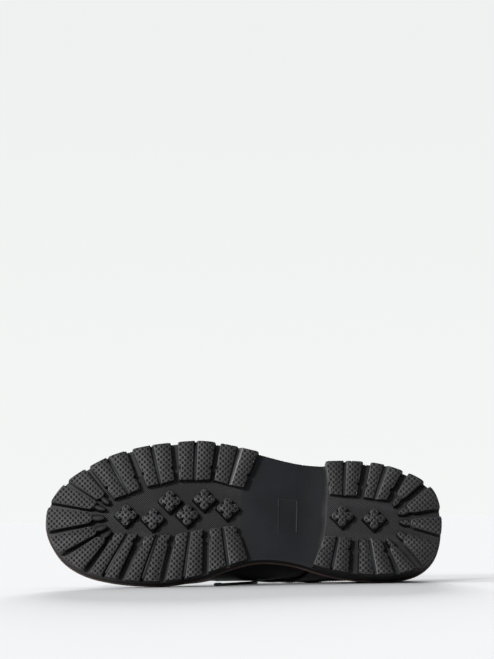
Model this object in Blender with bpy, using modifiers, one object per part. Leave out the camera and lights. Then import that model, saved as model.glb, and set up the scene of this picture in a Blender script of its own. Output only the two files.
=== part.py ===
"""Plain-toe derby shoe for the left foot, on a lugged rubber sole, lying on its inner side.

The shoe is worked out upright, in millimetres: x runs from the back of the heel to
the toe, y to the outer side of the foot, z up from the ground under the tread.
It is then laid on its inner side, as it rests on a floor at z = 0, with the sole
towards -Y, the heel towards +X and the middle of its box over the origin.
"""
from collections import namedtuple
from math import cos, pi, radians, sin

import bmesh
import bpy
import numpy as np
from mathutils import Matrix, Vector

MM = 0.001
GAP = 0.3                       # clearance between two pieces that touch
SHARP = radians(35)             # edges turning more than this stay crisp

# The sole: lengths along the shoe, and the thickness of each layer
LENGTH = 300.0
SPRING_START = 205.0
TOE_SPRING = 13.0
LUG_DEPTH = 8.0
LUG_ROOT = 3.0                  # how far a lug runs into the rubber above its root
LUG_DRAFT = 0.7                 # a lug is this much wider at its root, each side
RUBBER = 5.0
MIDSOLE = 2.6
WELT = 2.0
WELT_OUT = 1.2                  # midsole and welt stand out past the tread
RUBBER_IN = 0.6                 # the rubber's own side lies inside the lugs' ends
SPLIT_WIDTH = 2.6               # groove that parts a double lug
SPLIT_DEPTH = 4.0
SPLIT_DRAFT = 1.0               # and how far each of its sides leans in
BREAST_LEAN = 3.0               # slope of the heel's front wall

# The upper
LEATHER = 2.6
QUARTER = 1.7
QUARTER_OFF = 0.5               # the quarter's clearance over the vamp
BACKSTAY = 1.0
FEATHER = 4.4                   # the upper's lower edge, in from the tread's edge
WELT_IN = 7.2
INSOLE_IN = 8.2
INSOLE = 3.0
TONGUE = 3.0
THROAT = 175.0                  # where the two facings close into the vamp
HEEL_AXIS = 36.0                # sections fan round the heel behind this line
TOE_AXIS = 248.0                # and round the toe before this one

# Lacing
LACE = 2.2
EYELET_REACH = 9.0              # eyelet centre from the facing's edge
EYELET_AT = [163.0, 153.5, 144.0, 134.5, 126.5]
TIP = 2.8                       # the hard end of the lace

# The lace's loose end as it lies, in the finished frame: eyelet, floor, under the waist
LACE_ROUTE = [
    (21.6, 46.2, 17.8), (20.0, 49.4, 14.2), (19.8, 53.6, 9.6), (21.2, 58.4, 5.2), (24.2, 63.6, 2.2),
    (27.2, 69.6, 1.2), (26.4, 76.2, 1.15), (20.4, 79.8, 1.15), (12.8, 76.6, 1.15), (8.0, 66.6, 1.15),
    (7.0, 51.0, 1.15), (8.9, 34.4, 1.15), (9.4, 18.0, 1.15), (5.6, 1.0, 1.15), (-3.0, -17.0, 1.15),
    (-11.0, -33.0, 1.15), (-17.3, -45.4, 1.2),
]
TIP_ROUTE = [(-17.5, -45.7, 1.45), (-22.6, -55.5, 1.45)]

# How the finished shoe lies: turned over on its side, tipped back, and rolled
LAY_TILT = radians(12.158)
LAY_ROLL = radians(2.291)
LAY_AT = Vector((150.265, -51.606, 47.899)) * MM

Plan = namedtuple("Plan", "x outer inner")
PLAN = [                        # edge of the tread, either side of the heel's middle line
    Plan(0, -4, -4), Plan(5, 20, -26), Plan(15, 30, -36.5), Plan(30, 37, -42),
    Plan(50, 42.4, -43.4), Plan(75, 43.6, -41.8), Plan(92, 43, -38.4), Plan(108, 43.6, -34.2),
    Plan(125, 46.2, -32.4), Plan(143, 50, -33.8), Plan(160, 53.6, -39.2), Plan(180, 56.5, -46.9),
    Plan(205, 54.8, -52), Plan(230, 50.6, -52.4), Plan(250, 44.8, -50.2), Plan(270, 34.8, -44.6),
    Plan(285, 24.5, -35), Plan(295, 12.2, -21.5), Plan(300, -3.5, -3.5),
]

Arch = namedtuple("Arch", "x height")
ARCH = [                        # underside of the rubber, without the toe spring
    Arch(-5, 20.2), Arch(30, 19.4), Arch(60, 18.6), Arch(90, 17.9), Arch(102, 16.8), Arch(118, 13.8),
    Arch(134, 10.6), Arch(148, 8.7), Arch(162, 8), Arch(180, 8), Arch(305, 8),
]

Gap = namedtuple("Gap", "rim_x rim_y end_x end_y rim_width end_width")
FORE_GAPS = [                   # channels between the lugs, from the outer waist round the toe
    Gap(141.8, 49.4, 147.5, 17.0, 5.0, 5.0), Gap(170.6, 54.6, 174.4, 25.0, 4.2, 3.4),
    Gap(203.9, 54.0, 201.1, 25.5, 6.0, 3.9), Gap(237.5, 47.0, 226.0, 19.2, 5.2, 6.2),
    Gap(268.2, 33.7, 249.4, 9.6, 3.4, 3.6), Gap(283.8, 22.7, 253.6, 4.7, 2.4, 1.8),
    Gap(296.5, 6.5, 255.4, -0.4, 2.4, 2.3), Gap(297.3, -15.8, 254.4, -7.0, 2.8, 2.8),
    Gap(285.8, -32.7, 251.8, -12.5, 3.0, 1.5), Gap(266.7, -44.8, 247.4, -15.2, 4.4, 2.4),
    Gap(240.4, -50.5, 226.8, -17.7, 6.0, 6.0), Gap(209.9, -52.4, 202.7, -16.1, 5.6, 4.6),
    Gap(177.5, -47.0, 177.5, -11.8, 4.9, 4.9), Gap(143.5, -34.9, 153.2, -8.0, 4.6, 4.6),
]
FORE_LUGS = "dddd" + "wwwww" + "eeee"       # d, e: double lugs with a far or a near nick; w: wedge
HEEL_GAPS = [                   # the same on the heel, from the inner breast round the back
    Gap(98.8, -37.0, 90.8, -14.6, 5.0, 5.0), Gap(66.1, -42.5, 65.3, -16.2, 7.6, 6.2),
    Gap(33.8, -42.0, 44.0, -16.2, 4.2, 3.4), Gap(17.8, -35.0, 36.7, -13.5, 4.4, 6.0),
    Gap(3.0, -15.2, 32.9, -6.2, 5.4, 5.6), Gap(1.0, 5.2, 32.4, 0.6, 5.0, 4.0),
    Gap(12.0, 26.5, 34.8, 6.9, 4.4, 4.5), Gap(27.8, 36.2, 39.7, 12.8, 4.2, 4.9),
    Gap(57.0, 43.4, 61.6, 16.1, 6.3, 5.7), Gap(90.5, 41.0, 87.0, 17.3, 5.0, 5.0),
]
HEEL_LUGS = "dd" + "wwwww" + "dd"

Cross = namedtuple("Cross", "x y")
FORE_CROSSES = [
    Cross(238.7, -1.9), Cross(218.3, -4.8), Cross(205.8, 9.3), Cross(192.3, -1.1),
    Cross(179.6, 11.2), Cross(161.9, 4.7),
]
HEEL_CROSSES = [Cross(75.0, 0.8), Cross(50.8, -0.8)]
CROSS_ARM = 9.0

Section = namedtuple("Section", "x ridge flare_out flare_in rise crest height roof reach belly")
SECTIONS = [                    # half sections of the upper, from the feather edge to the crest
    Section(0, 0, 9, 9, 26, 30.0, 93.0, 82, 22, 0),
    Section(18, 0, 9, 5, 24, 28.6, 91.5, 82, 22, -0.6),
    Section(36, 0, 9, 1, 22, 28.4, 88.0, 82, 22, -1.8),
    Section(60, 0, 7, 3, 22, 30.2, 84.0, 84, 20, -1.2),
    Section(85, 0, 6, 14, 22, 31.8, 82.5, 82, 18, -0.9),
    Section(100, 0.3, 6, 22, 22, 32.0, 86.5, 74, 20, -0.2),
    Section(108, 0.7, 6, 25, 22, 27.0, 92.5, 62, 26, 1.2),
    Section(114, 0.8, 6, 26, 22, 18.5, 100.0, 50, 32, 3.6),
    Section(119, 0.8, 6, 26, 22, 10.0, 105.5, 42, 36, 5.4),
    Section(123, 0.8, 6, 26, 22, 7.0, 106.3, 38, 38, 6.5),
    Section(140, 0.5, 6, 24, 22, 6.4, 98.3, 35, 36, 6.6),
    Section(160, -0.5, 6, 16, 22, 6.0, 88.5, 30, 34, 5.6),
    Section(171, -1.4, 6, 11, 22, 5.0, 83.2, 27, 33, 6.0),
    Section(178, -1.8, 6, 9, 22, 4.0, 80.4, 25, 32, 8.0),
    Section(205, -4, 6, 6, 22, 0.0, 69.6, 17, 30, 5.4),
    Section(228, -5.2, 6, 6, 22, 0.0, 63.8, 10, 28, 4.6),
    Section(248, -6, 7, 7, 22, 0.0, 61.0, 6, 26, 2.4),
    Section(275, -6, 8, 8, 20, 0.0, 61.0, 6, 26, 0.4),
    Section(300, -6, 9, 9, 18, 0.0, 61.0, 8, 28, 0),
]
HEEL_COLUMNS = [0, 6, 12, 18, 24, 30, 36]
SIDE_COLUMNS = [46, 58, 70, 82, 92, 100, 107, 113, 119, 123, 131, 141, 151, 161, 169, 175]
SIDE_COLUMNS += [186, 198, 210, 223, 235.5]
TOE_COLUMNS = [248, 256.5, 265, 274, 283, 291.5, 300]
ROWS = np.array([0, 0.12, 0.25, 0.39, 0.54, 0.7, 0.86, 1.0])

Seam = namedtuple("Seam", "x z")
QUARTER_FRONT = [               # front edge of the quarters, side on, from the sole to the throat
    Seam(97.5, 15), Seam(98.5, 30), Seam(101, 42), Seam(106, 53), Seam(116, 62), Seam(131, 68.5),
    Seam(148, 73), Seam(162, 76), Seam(170, 79), Seam(173.5, 84), Seam(173.5, 100),
]


# ---------------------------------------------------------------- shared working

def smooth(at, knots, values):
    """Cubic Hermite curve through values at knots, with three-point slopes."""
    knots = np.asarray(knots, float)
    values = np.asarray(values, float)
    slopes = np.gradient(values, knots)
    i = np.clip(np.searchsorted(knots, at) - 1, 0, len(knots) - 2)
    step = knots[i + 1] - knots[i]
    t = (at - knots[i]) / step
    return ((1 + 2 * t) * (1 - t) ** 2 * values[i] + t * (1 - t) ** 2 * step * slopes[i]
            + t * t * (3 - 2 * t) * values[i + 1] + t * t * (t - 1) * step * slopes[i + 1])


def column(rows, field):
    return [getattr(row, field) for row in rows]


def spring(x):
    """Rise of the toe off the ground."""
    return TOE_SPRING * np.clip((x - SPRING_START) / (LENGTH - SPRING_START), 0, None) ** 2


def underside(x):
    """Height of the rubber's lower face, the floor of the channels between the lugs."""
    return smooth(x, column(ARCH, "x"), column(ARCH, "height")) + spring(x)


def midsole_low(x):
    return underside(x) + RUBBER + GAP


def welt_low(x):
    return midsole_low(x) + MIDSOLE + GAP


def seat(x):
    """Height of the upper's lower edge, just clear of the welt."""
    return welt_low(x) + WELT + GAP


def outline(out=0.0, points=128):
    """Closed ring of the tread's edge, moved outwards: outer side to the toe, inner side back."""
    turn = np.linspace(0, pi, points // 2 + 1)
    knots = np.arccos(1 - 2 * np.array(column(PLAN, "x")) / LENGTH)
    x = LENGTH * (1 - np.cos(turn)) / 2
    outer = np.c_[x, smooth(turn, knots, column(PLAN, "outer"))]
    inner = np.c_[x, smooth(turn, knots, column(PLAN, "inner"))]
    ring = np.concatenate([outer, inner[-2:0:-1]])
    along = np.roll(ring, -1, 0) - np.roll(ring, 1, 0)
    normal = np.c_[-along[:, 1], along[:, 0]]
    return ring + out * normal / np.linalg.norm(normal, axis=1, keepdims=True)


def edge(x, side, out=0.0):
    """Distance of the tread's edge from the middle line, on one side, moved outwards."""
    ring = outline(out)
    half = len(ring) // 2
    line = ring[:half + 1] if side > 0 else np.roll(ring[::-1], 1, 0)[:half + 1]
    return np.interp(x, line[:, 0], line[:, 1])


def cross(a, b):
    return a[..., 0] * b[..., 1] - a[..., 1] * b[..., 0]


def where_ray_meets(ring, point, heading):
    """Place along a ring, as an index with a fraction, where a ray from inside meets it."""
    step = np.roll(ring, -1, 0) - ring
    down = cross(heading, step)
    distance = cross(ring - point, step) / down
    part = cross(ring - point, heading) / down
    hits = np.where((part >= 0) & (part < 1) & (distance > 0))[0]
    nearest = hits[np.argmin(distance[hits])]
    return nearest + part[nearest]


def on_ring(ring, place):
    i = int(place) % len(ring)
    part = place - int(place)
    return ring[i] * (1 - part) + ring[(i + 1) % len(ring)] * part


def material(name, colour, roughness, metallic=0.0):
    made = bpy.data.materials.new(name)
    made.use_nodes = True
    shader = made.node_tree.nodes["Principled BSDF"]
    shader.inputs["Base Color"].default_value = (*colour, 1.0)
    shader.inputs["Roughness"].default_value = roughness
    shader.inputs["Metallic"].default_value = metallic
    return made


def add_mesh(name, points, faces, finish, collection, weld=0.0):
    """New object from points in millimetres, with its faces turned outwards and its curves smooth."""
    mesh = bpy.data.meshes.new(name)
    rows = [tuple(int(i) for i in face) for face in faces]
    mesh.from_pydata((np.asarray(points) * MM).tolist(), [], rows)
    work = bmesh.new()
    work.from_mesh(mesh)
    if weld:
        bmesh.ops.remove_doubles(work, verts=work.verts, dist=weld * MM)
    bmesh.ops.recalc_face_normals(work, faces=work.faces)
    work.to_mesh(mesh)
    work.free()
    mesh.shade_smooth()
    mesh.set_sharp_from_angle(angle=SHARP)
    mesh.materials.append(finish)
    made = bpy.data.objects.new(name, mesh)
    collection.objects.link(made)
    return made


def quads(index):
    """Faces of a grid of point numbers."""
    return np.stack([index[:-1, :-1], index[1:, :-1], index[1:, 1:], index[:-1, 1:]], -1).reshape(-1, 4)


def solid_between(name, below, above, finish, collection):
    """Closed solid between two grids of as many points: its two faces and four edge walls."""
    n, m = below.shape[:2]
    index = np.arange(n * m).reshape(n, m)
    rim = np.concatenate([index[0, :-1], index[:-1, -1], index[-1, :0:-1], index[:0:-1, 0]])
    walls = np.stack([rim, np.roll(rim, -1), np.roll(rim, -1) + n * m, rim + n * m], -1)
    faces = np.concatenate([quads(index), quads(index + n * m)[:, ::-1], walls])
    points = np.concatenate([above.reshape(-1, 3), below.reshape(-1, 3)])
    return add_mesh(name, points, faces, finish, collection)


def prism(name, low, high, finish, collection):
    """Closed solid between two outlines of as many points."""
    n = len(low)
    ring = np.arange(n)
    walls = np.stack([ring, np.roll(ring, -1), np.roll(ring, -1) + n, ring + n], -1).tolist()
    return add_mesh(name, np.concatenate([low, high]), walls + [ring[::-1], ring + n], finish, collection)


def wire_cutter(made):
    made.hide_render = True
    made.display_type = "WIRE"
    return made


def boolean(made, operation, other):
    step = made.modifiers.new(operation.title(), "BOOLEAN")
    step.operation = operation
    step.solver = "EXACT"
    if isinstance(other, bpy.types.Collection):
        step.operand_type = "COLLECTION"
        step.collection = other
    else:
        step.object = other


# ---------------------------------------------------------------- sole

def layer(name, out, low, high, finish, collection, ends=(0.0, LENGTH), columns=40, skew=None):
    """One layer of the sole, cut across at stations that crowd together at its ends. A skew
    moves its front end by side, and leans the front wall."""
    start, stop = ends[0] - out + 0.12, ends[1] + (out if ends[1] == LENGTH else 0.0) - 0.12
    t = (1 - np.cos(np.linspace(0, pi if ends[1] == LENGTH else pi / 2, columns))) / 2
    x = start + (stop - start) * t / t[-1]
    sheets = []
    for lean, height in ((BREAST_LEAN, low), (0.0, high)):
        sides = []
        for side in (-1, 0, 1):
            along = x + ((skew[side] - lean) * t / t[-1] if skew else 0.0)
            y = edge(along, side, out) if side else (edge(along, 1, out) + edge(along, -1, out)) / 2
            sides.append(np.c_[along, y])
        plan = np.stack(sides, 1)
        sheets.append(np.dstack([plan, height(plan[..., 0])]))
    return solid_between(name, *sheets, finish, collection)


def lug_side(gap, towards, draft, kind):
    """One flank of a lug, from its inner end to the rim: straight, nicked, or necked to a nub."""
    end = np.array([gap.end_x, gap.end_y])
    rim = np.array([gap.rim_x, gap.rim_y])
    heading = (rim - end) / np.linalg.norm(rim - end)
    into = towards * np.array([heading[1], -heading[0]])
    start = end + into * (gap.end_width / 2 - draft)
    run = rim + into * (gap.rim_width / 2 - draft) - start
    heading = run / np.linalg.norm(run)
    marks = {"w": [(0.0, 0.0), (0.21, 0.2), (0.26, -0.8)],
             "d": [(0.0, 0.0), (0.27, 0.0), (0.33, 1.9), (0.38, 0.0)],
             "e": [(0.0, 0.0), (0.11, 0.0), (0.17, 2.1), (0.23, 0.0)],
             "-": [(0.0, 0.0)]}[kind]
    return [start + run * share + into * step for share, step in marks], heading


def lug_outline(first, last, ring, drafts, kinds):
    """Outline of a lug between two channels, its outer end following the rim."""
    near, near_heading = lug_side(first, 1, drafts[0], kinds[0])
    far, far_heading = lug_side(last, -1, drafts[1], kinds[1])
    begin = where_ray_meets(ring, near[0], near_heading)
    finish = where_ray_meets(ring, far[0], far_heading)
    if finish < begin:
        finish += len(ring)
    rim = [on_ring(ring, place) for place in np.linspace(begin, finish, 4)]
    return np.array(near + rim + far[::-1])


def middle(first, last):
    """Groove down the middle of a double lug."""
    rim = (np.array(first[:2]) + np.array(last[:2])) / 2
    end = (np.array(first[2:4]) + np.array(last[2:4])) / 2
    away = (rim - end) / np.linalg.norm(rim - end)
    return Gap(*(rim + 3 * away), *end, SPLIT_WIDTH, SPLIT_WIDTH)


def stand(points, height):
    return np.c_[points, height(points[:, 0])]


def lugs(prefix, gaps, kinds, root, finish, collection):
    """Lugs between neighbouring channels: single wedges, and doubles split by a shallow groove."""
    tread = outline(0.0)
    for number, kind in enumerate(kinds):
        first, last = gaps[number], gaps[number + 1]
        if kind == "w":
            spans = [(first, last, "ww")]
        else:
            split = middle(first, last)
            spans = [(first, split, kind + "-"), (split, last, "-" + kind)]
        for half, (a, b, ends) in enumerate(spans):
            drafts = [SPLIT_DRAFT if end == "-" else LUG_DRAFT for end in ends]
            low = stand(lug_outline(a, b, tread, (0.0, 0.0), ends), spring)
            high = stand(lug_outline(a, b, tread, drafts, ends), root)
            wire_cutter(prism(f"{prefix}_{number}_{half}", low, high, finish, collection))
        if kind != "w":
            end = np.array(split[2:4])
            rim = np.array(split[:2])
            along = (rim - end) / np.linalg.norm(rim - end)
            across = np.array([along[1], -along[0]]) * (SPLIT_WIDTH / 2 + 0.9)
            web = np.array([end + 0.8 * along - across, end + 0.8 * along + across,
                            rim - 5.5 * along + across, rim - 5.5 * along - across])
            low = stand(web, lambda x: spring(x) + SPLIT_DEPTH)
            wire_cutter(prism(f"{prefix}_{number}_web", low, stand(web, root), finish, collection))


def crosses(prefix, places, root, finish, collection):
    """Four-leaved studs down the middle: a diamond with a notch in each side."""
    leaf = np.array([[1.0, -0.11], [1.0, 0.11], [0.65, 0.46], [0.43, 0.43], [0.46, 0.65]]) * CROSS_ARM
    turns = [np.array([[cos(a), sin(a)], [-sin(a), cos(a)]]) for a in (0, pi / 2, pi, 3 * pi / 2)]
    star = np.concatenate([leaf @ turn for turn in turns])
    for number, place in enumerate(places):
        centre = np.array([place.x, place.y])
        low = stand(centre + star, spring)
        high = stand(centre + star * 1.06, root)
        wire_cutter(prism(f"{prefix}_{number}", low, high, finish, collection))


def nameplate(finish, collection):
    """Bare raised panel across the waist."""
    x, y = np.meshgrid([108.5, 116.0, 124.0], [-11.0, 16.0], indexing="ij")
    below = np.dstack([x, y, underside(x) - 0.8])
    above = np.dstack([x, y, underside(x) + 2.0])
    wire_cutter(solid_between("waist_panel", below, above, finish, collection))


def build_sole(parts, tools, rubber, brown):
    outsole = layer("outsole", -RUBBER_IN, underside, lambda x: underside(x) + RUBBER, rubber, parts)
    studs = bpy.data.collections.new("outsole studs")
    tools.children.link(studs)
    lugs("fore_lug", FORE_GAPS, FORE_LUGS, lambda x: underside(x) + LUG_ROOT, rubber, studs)
    crosses("fore_cross", FORE_CROSSES, lambda x: underside(x) + LUG_ROOT, rubber, studs)
    nameplate(rubber, studs)
    boolean(outsole, "UNION", studs)

    breast = {-1: 5.9, 0: 0.0, 1: -0.4}
    heel = layer("heel", -RUBBER_IN, lambda x: LUG_DEPTH + 0 * x, lambda x: underside(x) - GAP, rubber, parts,
                 ends=(0.0, 91.3), columns=16, skew=breast)
    heel_studs = bpy.data.collections.new("heel studs")
    tools.children.link(heel_studs)
    lugs("heel_lug", HEEL_GAPS, HEEL_LUGS, lambda x: LUG_DEPTH + LUG_ROOT + 0 * x, rubber, heel_studs)
    crosses("heel_cross", HEEL_CROSSES, lambda x: LUG_DEPTH + LUG_ROOT + 0 * x, rubber, heel_studs)
    boolean(heel, "UNION", heel_studs)

    layer("midsole", WELT_OUT, midsole_low, lambda x: midsole_low(x) + MIDSOLE, brown, parts)
    build_welt(parts, brown)


def build_welt(parts, brown):
    """Strip all round the edge, on the midsole, with the upper sewn to its inner part."""
    outer = outline(WELT_OUT, 72)
    inner = outline(-WELT_IN, 72)
    rings = [stand(ring, welt_low) for ring in (outer, outer, inner, inner)]
    rings = np.stack(rings, 1)
    rings[:, 1:3, 2] += WELT
    n, m = rings.shape[:2]
    index = np.arange(n * m).reshape(n, m)
    around = np.concatenate([index, index[:1]])
    around = np.concatenate([around, around[:, :1]], 1)
    add_mesh("welt", rings.reshape(-1, 3), quads(around), brown, parts)


# ---------------------------------------------------------------- upper

def section_curve(x, side):
    """Control points of the half sections at x: feather edge, side, shoulder and crest."""
    value = {}
    for name in Section._fields[1:]:
        value[name] = smooth(x, column(SECTIONS, "x"), column(SECTIONS, name))
    fan = np.where(x < HEEL_AXIS, x / HEEL_AXIS, np.clip((LENGTH - x) / (LENGTH - TOE_AXIS), 0, 1)) * pi / 2
    ahead = np.where(x < HEEL_AXIS, -np.cos(fan), np.cos(fan))
    heading = np.stack([ahead, side * np.sin(fan)], -1)
    foot_x = np.clip(x, HEEL_AXIS, TOE_AXIS)
    foot = np.stack([foot_x, smooth(foot_x, column(SECTIONS, "x"), column(SECTIONS, "ridge"))], -1)
    ring = outline(-FEATHER, 256)
    places = [where_ray_meets(ring, f, h) for f, h in zip(foot, heading)]
    feather = np.array([on_ring(ring, place) for place in places])
    spread = np.linalg.norm(feather - foot, axis=1)
    crest = value["crest"] * np.clip((THROAT - x) / 6, 0, 1)
    belly = value["belly"] * (side < 0)
    flare = np.radians(value["flare_out" if side > 0 else "flare_in"])
    roof = np.radians(value["roof"])
    base = seat(feather[:, 0])
    out = np.stack([spread, spread + value["rise"] * np.sin(flare) + belly,
                    crest + value["reach"] * np.cos(roof) + belly, crest], -1)
    up = np.stack([base, base + value["rise"] * np.cos(flare),
                   value["height"] - value["reach"] * np.sin(roof), value["height"]], -1)
    return foot, heading, out, up


def surface(x, rows, side, off=0.0):
    """Outer face of the upper at sections x and rows from feather (0) to crest (1), moved off it."""
    x = np.asarray(x, float)

    def face(at, v):
        foot, heading, out, up = section_curve(at, side)
        weight = np.stack([(1 - v) ** 3, 3 * v * (1 - v) ** 2, 3 * v * v * (1 - v), v ** 3])
        r = out @ weight
        return np.dstack([foot[:, :1] + r * heading[:, :1], foot[:, 1:] + r * heading[:, 1:], up @ weight])

    points = face(x, rows)
    if off:
        nudge = 0.05
        v = np.clip(rows, nudge, 1 - nudge)
        along = face(np.clip(x + nudge, 0, LENGTH), v) - face(np.clip(x - nudge, 0, LENGTH), v)
        upward = face(x, v + nudge) - face(x, v - nudge)
        normal = side * np.cross(upward, along)
        points = points + off * normal / np.linalg.norm(normal, axis=2, keepdims=True)
    return points


def build_upper(parts, leather):
    """Vamp and lining as one wall, open at the throat and collar and down to the insole."""
    x = np.array(HEEL_COLUMNS + SIDE_COLUMNS + TOE_COLUMNS, float)
    points = []
    faces = []
    for side in (1, -1):
        grid = surface(x, ROWS, side)
        index = np.arange(grid[..., 0].size).reshape(grid.shape[:2]) + len(points) * grid[..., 0].size
        faces.append(quads(index) if side > 0 else quads(index)[:, ::-1])
        points.append(grid.reshape(-1, 3))
    upper = add_mesh("upper", np.concatenate(points), np.concatenate(faces), leather, parts, weld=0.02)
    wall = upper.modifiers.new("Wall", "SOLIDIFY")
    wall.thickness = LEATHER * MM
    wall.offset = -1
    wall.use_even_offset = True


def build_quarters(parts, tools, leather):
    """Outer quarters over the vamp, each cut from a shell round the upper by its side-on outline."""
    foot = np.linspace(-8, QUARTER_FRONT[1].x, 14)
    lower = [(x, seat(x) + 0.1) for x in foot]
    front = [(seam.x, seam.z) for seam in QUARTER_FRONT[2:]]
    profile = np.array(lower + front + [(173.5, 130), (-8, 130)])
    for side, name in ((1, "quarter_outer"), (-1, "quarter_inner")):
        x = np.array([0.5] + HEEL_COLUMNS[1:] + [c for c in SIDE_COLUMNS if c < THROAT] + [174.9])
        below = surface(x, ROWS, side, QUARTER_OFF)
        above = surface(x, ROWS, side, QUARTER_OFF + QUARTER)
        quarter = solid_between(name, below, above, leather, parts)
        flat = np.c_[profile[:, 0], np.zeros(len(profile)), profile[:, 1]]
        reach = np.array([0, 90.0, 0]) * side
        cutter = prism(name + "_outline", flat - reach / 45, flat + reach, leather, tools)
        boolean(quarter, "INTERSECT", wire_cutter(cutter))


def build_backstay(parts, leather):
    """Strip down the back seam, over both quarters."""
    fan = np.array([0.0, 2.4, 4.8])
    rows = np.linspace(0.05, 1.0, 8)
    lift = GAP + QUARTER_OFF + QUARTER
    sheets = []
    for off in (lift, lift + BACKSTAY):
        inner = surface(fan, rows, -1, off)[::-1]
        outer = surface(fan, rows, 1, off)[1:]
        sheets.append(np.concatenate([inner, outer]))
    solid_between("backstay", sheets[0], sheets[1], leather, parts)


def under_vamp(x, y):
    """Height of the upper's inner face over a point of the instep, level across the throat."""
    result = np.zeros_like(x)
    rows = np.linspace(0.4, 1.0, 40)
    for side in (-1, 1):
        wall = surface(x[:, 0], rows, side, -(LEATHER + 1.7))
        for i, line in enumerate(wall[:, ::-1]):
            from_edge = side * (y[i] - line[0, 1])
            height = np.interp(from_edge, side * (line[:, 1] - line[0, 1]), line[:, 2])
            height[from_edge < 0] = line[0, 2] + 1.0
            mine = side * y[i] >= 0
            result[i, mine] = height[mine]
    return result


def build_tongue(parts, leather):
    """Sheet under the facings, from beneath the vamp to above the top eyelets."""
    top = 123.0
    slope = 0.46
    x = np.array([186, 176, 166, 154, 142, 132, 124, 116, 108, 101, 97], float)
    half = np.array([20, 24, 26, 27, 27, 27, 27, 27, 26, 22, 15], float)
    across = np.linspace(-1, 1, 11)
    y = half[:, None] * across[None, :]
    grid_x = np.repeat(x[:, None], len(across), 1)
    height = under_vamp(np.maximum(grid_x, top), y) + slope * np.maximum(top - grid_x, 0)
    above = np.dstack([grid_x, y, height])
    along = np.gradient(above, axis=0)
    sideways = np.gradient(above, axis=1)
    normal = np.cross(sideways, along)
    normal /= np.linalg.norm(normal, axis=2, keepdims=True)
    normal *= np.sign(normal[..., 2:])
    solid_between("tongue", above - TONGUE * normal, above, leather, parts)


def build_insole(parts, board):
    layer("insole", -INSOLE_IN, welt_low, lambda x: welt_low(x) + INSOLE, board, parts, columns=26)


# ---------------------------------------------------------------- lacing

def facing_point(x, side, reach, off):
    """Point over the facing, a distance in from its edge along the leather, and the way it faces."""
    rows = np.linspace(0.3, 1.0, 60)
    line = surface([x], rows, side, off)[0][::-1]
    run = np.concatenate([[0], np.cumsum(np.linalg.norm(np.diff(line, axis=0), axis=1))])
    point = np.array([np.interp(reach, run, line[:, k]) for k in range(3)])
    base = surface([x], rows, side, off - 1.0)[0][::-1]
    foot = np.array([np.interp(reach, run, base[:, k]) for k in range(3)])
    return point, (point - foot) / np.linalg.norm(point - foot)


def build_eyelets(parts, metal):
    """Rolled rings set in the facings, five a side."""
    profile = [(3.9, 0.0), (3.6, 0.9), (2.5, 0.9), (2.2, 0.0)]
    steps = 10
    for number, x in enumerate(EYELET_AT, 1):
        for side, name in ((1, "outer"), (-1, "inner")):
            centre, facing = facing_point(x, side, EYELET_REACH, GAP + QUARTER_OFF + QUARTER)
            angle = np.arange(steps) * 2 * pi / steps
            rings = np.array([[(r * cos(a), r * sin(a), z) for r, z in profile] for a in angle])
            index = np.arange(rings.shape[0] * rings.shape[1]).reshape(rings.shape[:2])
            around = np.concatenate([index, index[:1]])
            around = np.concatenate([around, around[:, :1]], 1)
            turn = np.array(Vector(facing).to_track_quat("Z", "Y").to_matrix())
            points = rings.reshape(-1, 3) @ turn.T + centre
            add_mesh(f"eyelet_{name}_{number}", points, quads(around), metal, parts)


def tube(name, points, diameter, finish, collection):
    """Round cord along a list of points."""
    curve = bpy.data.curves.new(name, "CURVE")
    curve.dimensions = "3D"
    curve.bevel_depth = diameter / 2 * MM
    curve.bevel_resolution = 2
    curve.use_fill_caps = True
    line = curve.splines.new("POLY")
    line.points.add(len(points) - 1)
    for point, place in zip(line.points, points):
        point.co = (*(np.asarray(place) * MM), 1.0)
    curve.materials.append(finish)
    made = bpy.data.objects.new(name, curve)
    collection.objects.link(made)
    return made


def through(points, count):
    """Evenly numbered points of a smooth curve through a route."""
    places = np.arange(len(points), dtype=float)
    at = np.linspace(0, len(points) - 1, count)
    return np.stack([smooth(at, places, axis) for axis in np.transpose(points)], 1)


def build_lace_end(parts, cord, plastic):
    """Loose end, from the top inner eyelet down to the floor and forward under the waist."""
    tube("lace_end", through(LACE_ROUTE, 64), LACE, cord, parts)
    tube("lace_tip", through(TIP_ROUTE, 4), TIP, plastic, parts)


def build_bars(parts, cord):
    """Straight bars of lace across the throat, over the first four pairs of eyelets."""
    over = QUARTER_OFF + QUARTER + 2 * GAP + 0.9 + LACE / 2
    for number, x in enumerate(EYELET_AT[:-1], 1):
        points = []
        for side in (-1, 1):
            ends = [facing_point(x, side, reach, over + lift)[0] for reach, lift in
                    ((EYELET_REACH, 0.0), (EYELET_REACH / 2, 0.5), (0.5, 0.6))]
            points += ends if side < 0 else ends[::-1]
        tube(f"lace_bar_{number}", points, LACE, cord, parts)


# ---------------------------------------------------------------- putting together

def clear_scene():
    for old in list(bpy.data.objects):
        bpy.data.objects.remove(old)


def lay_down(pieces):
    """Turn the upright shoe onto its inner side, where it rests on the floor."""
    over = Matrix(((-1, 0, 0), (0, 0, 1), (0, 1, 0)))
    turn = Matrix.Rotation(LAY_ROLL, 3, "Y") @ Matrix.Rotation(-LAY_TILT, 3, "X") @ over
    pose = bpy.data.objects.new("resting_pose", None)
    bpy.context.scene.collection.objects.link(pose)
    pose.matrix_world = Matrix.Translation(LAY_AT) @ turn.to_4x4()
    for piece in pieces:
        piece.parent = pose


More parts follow.
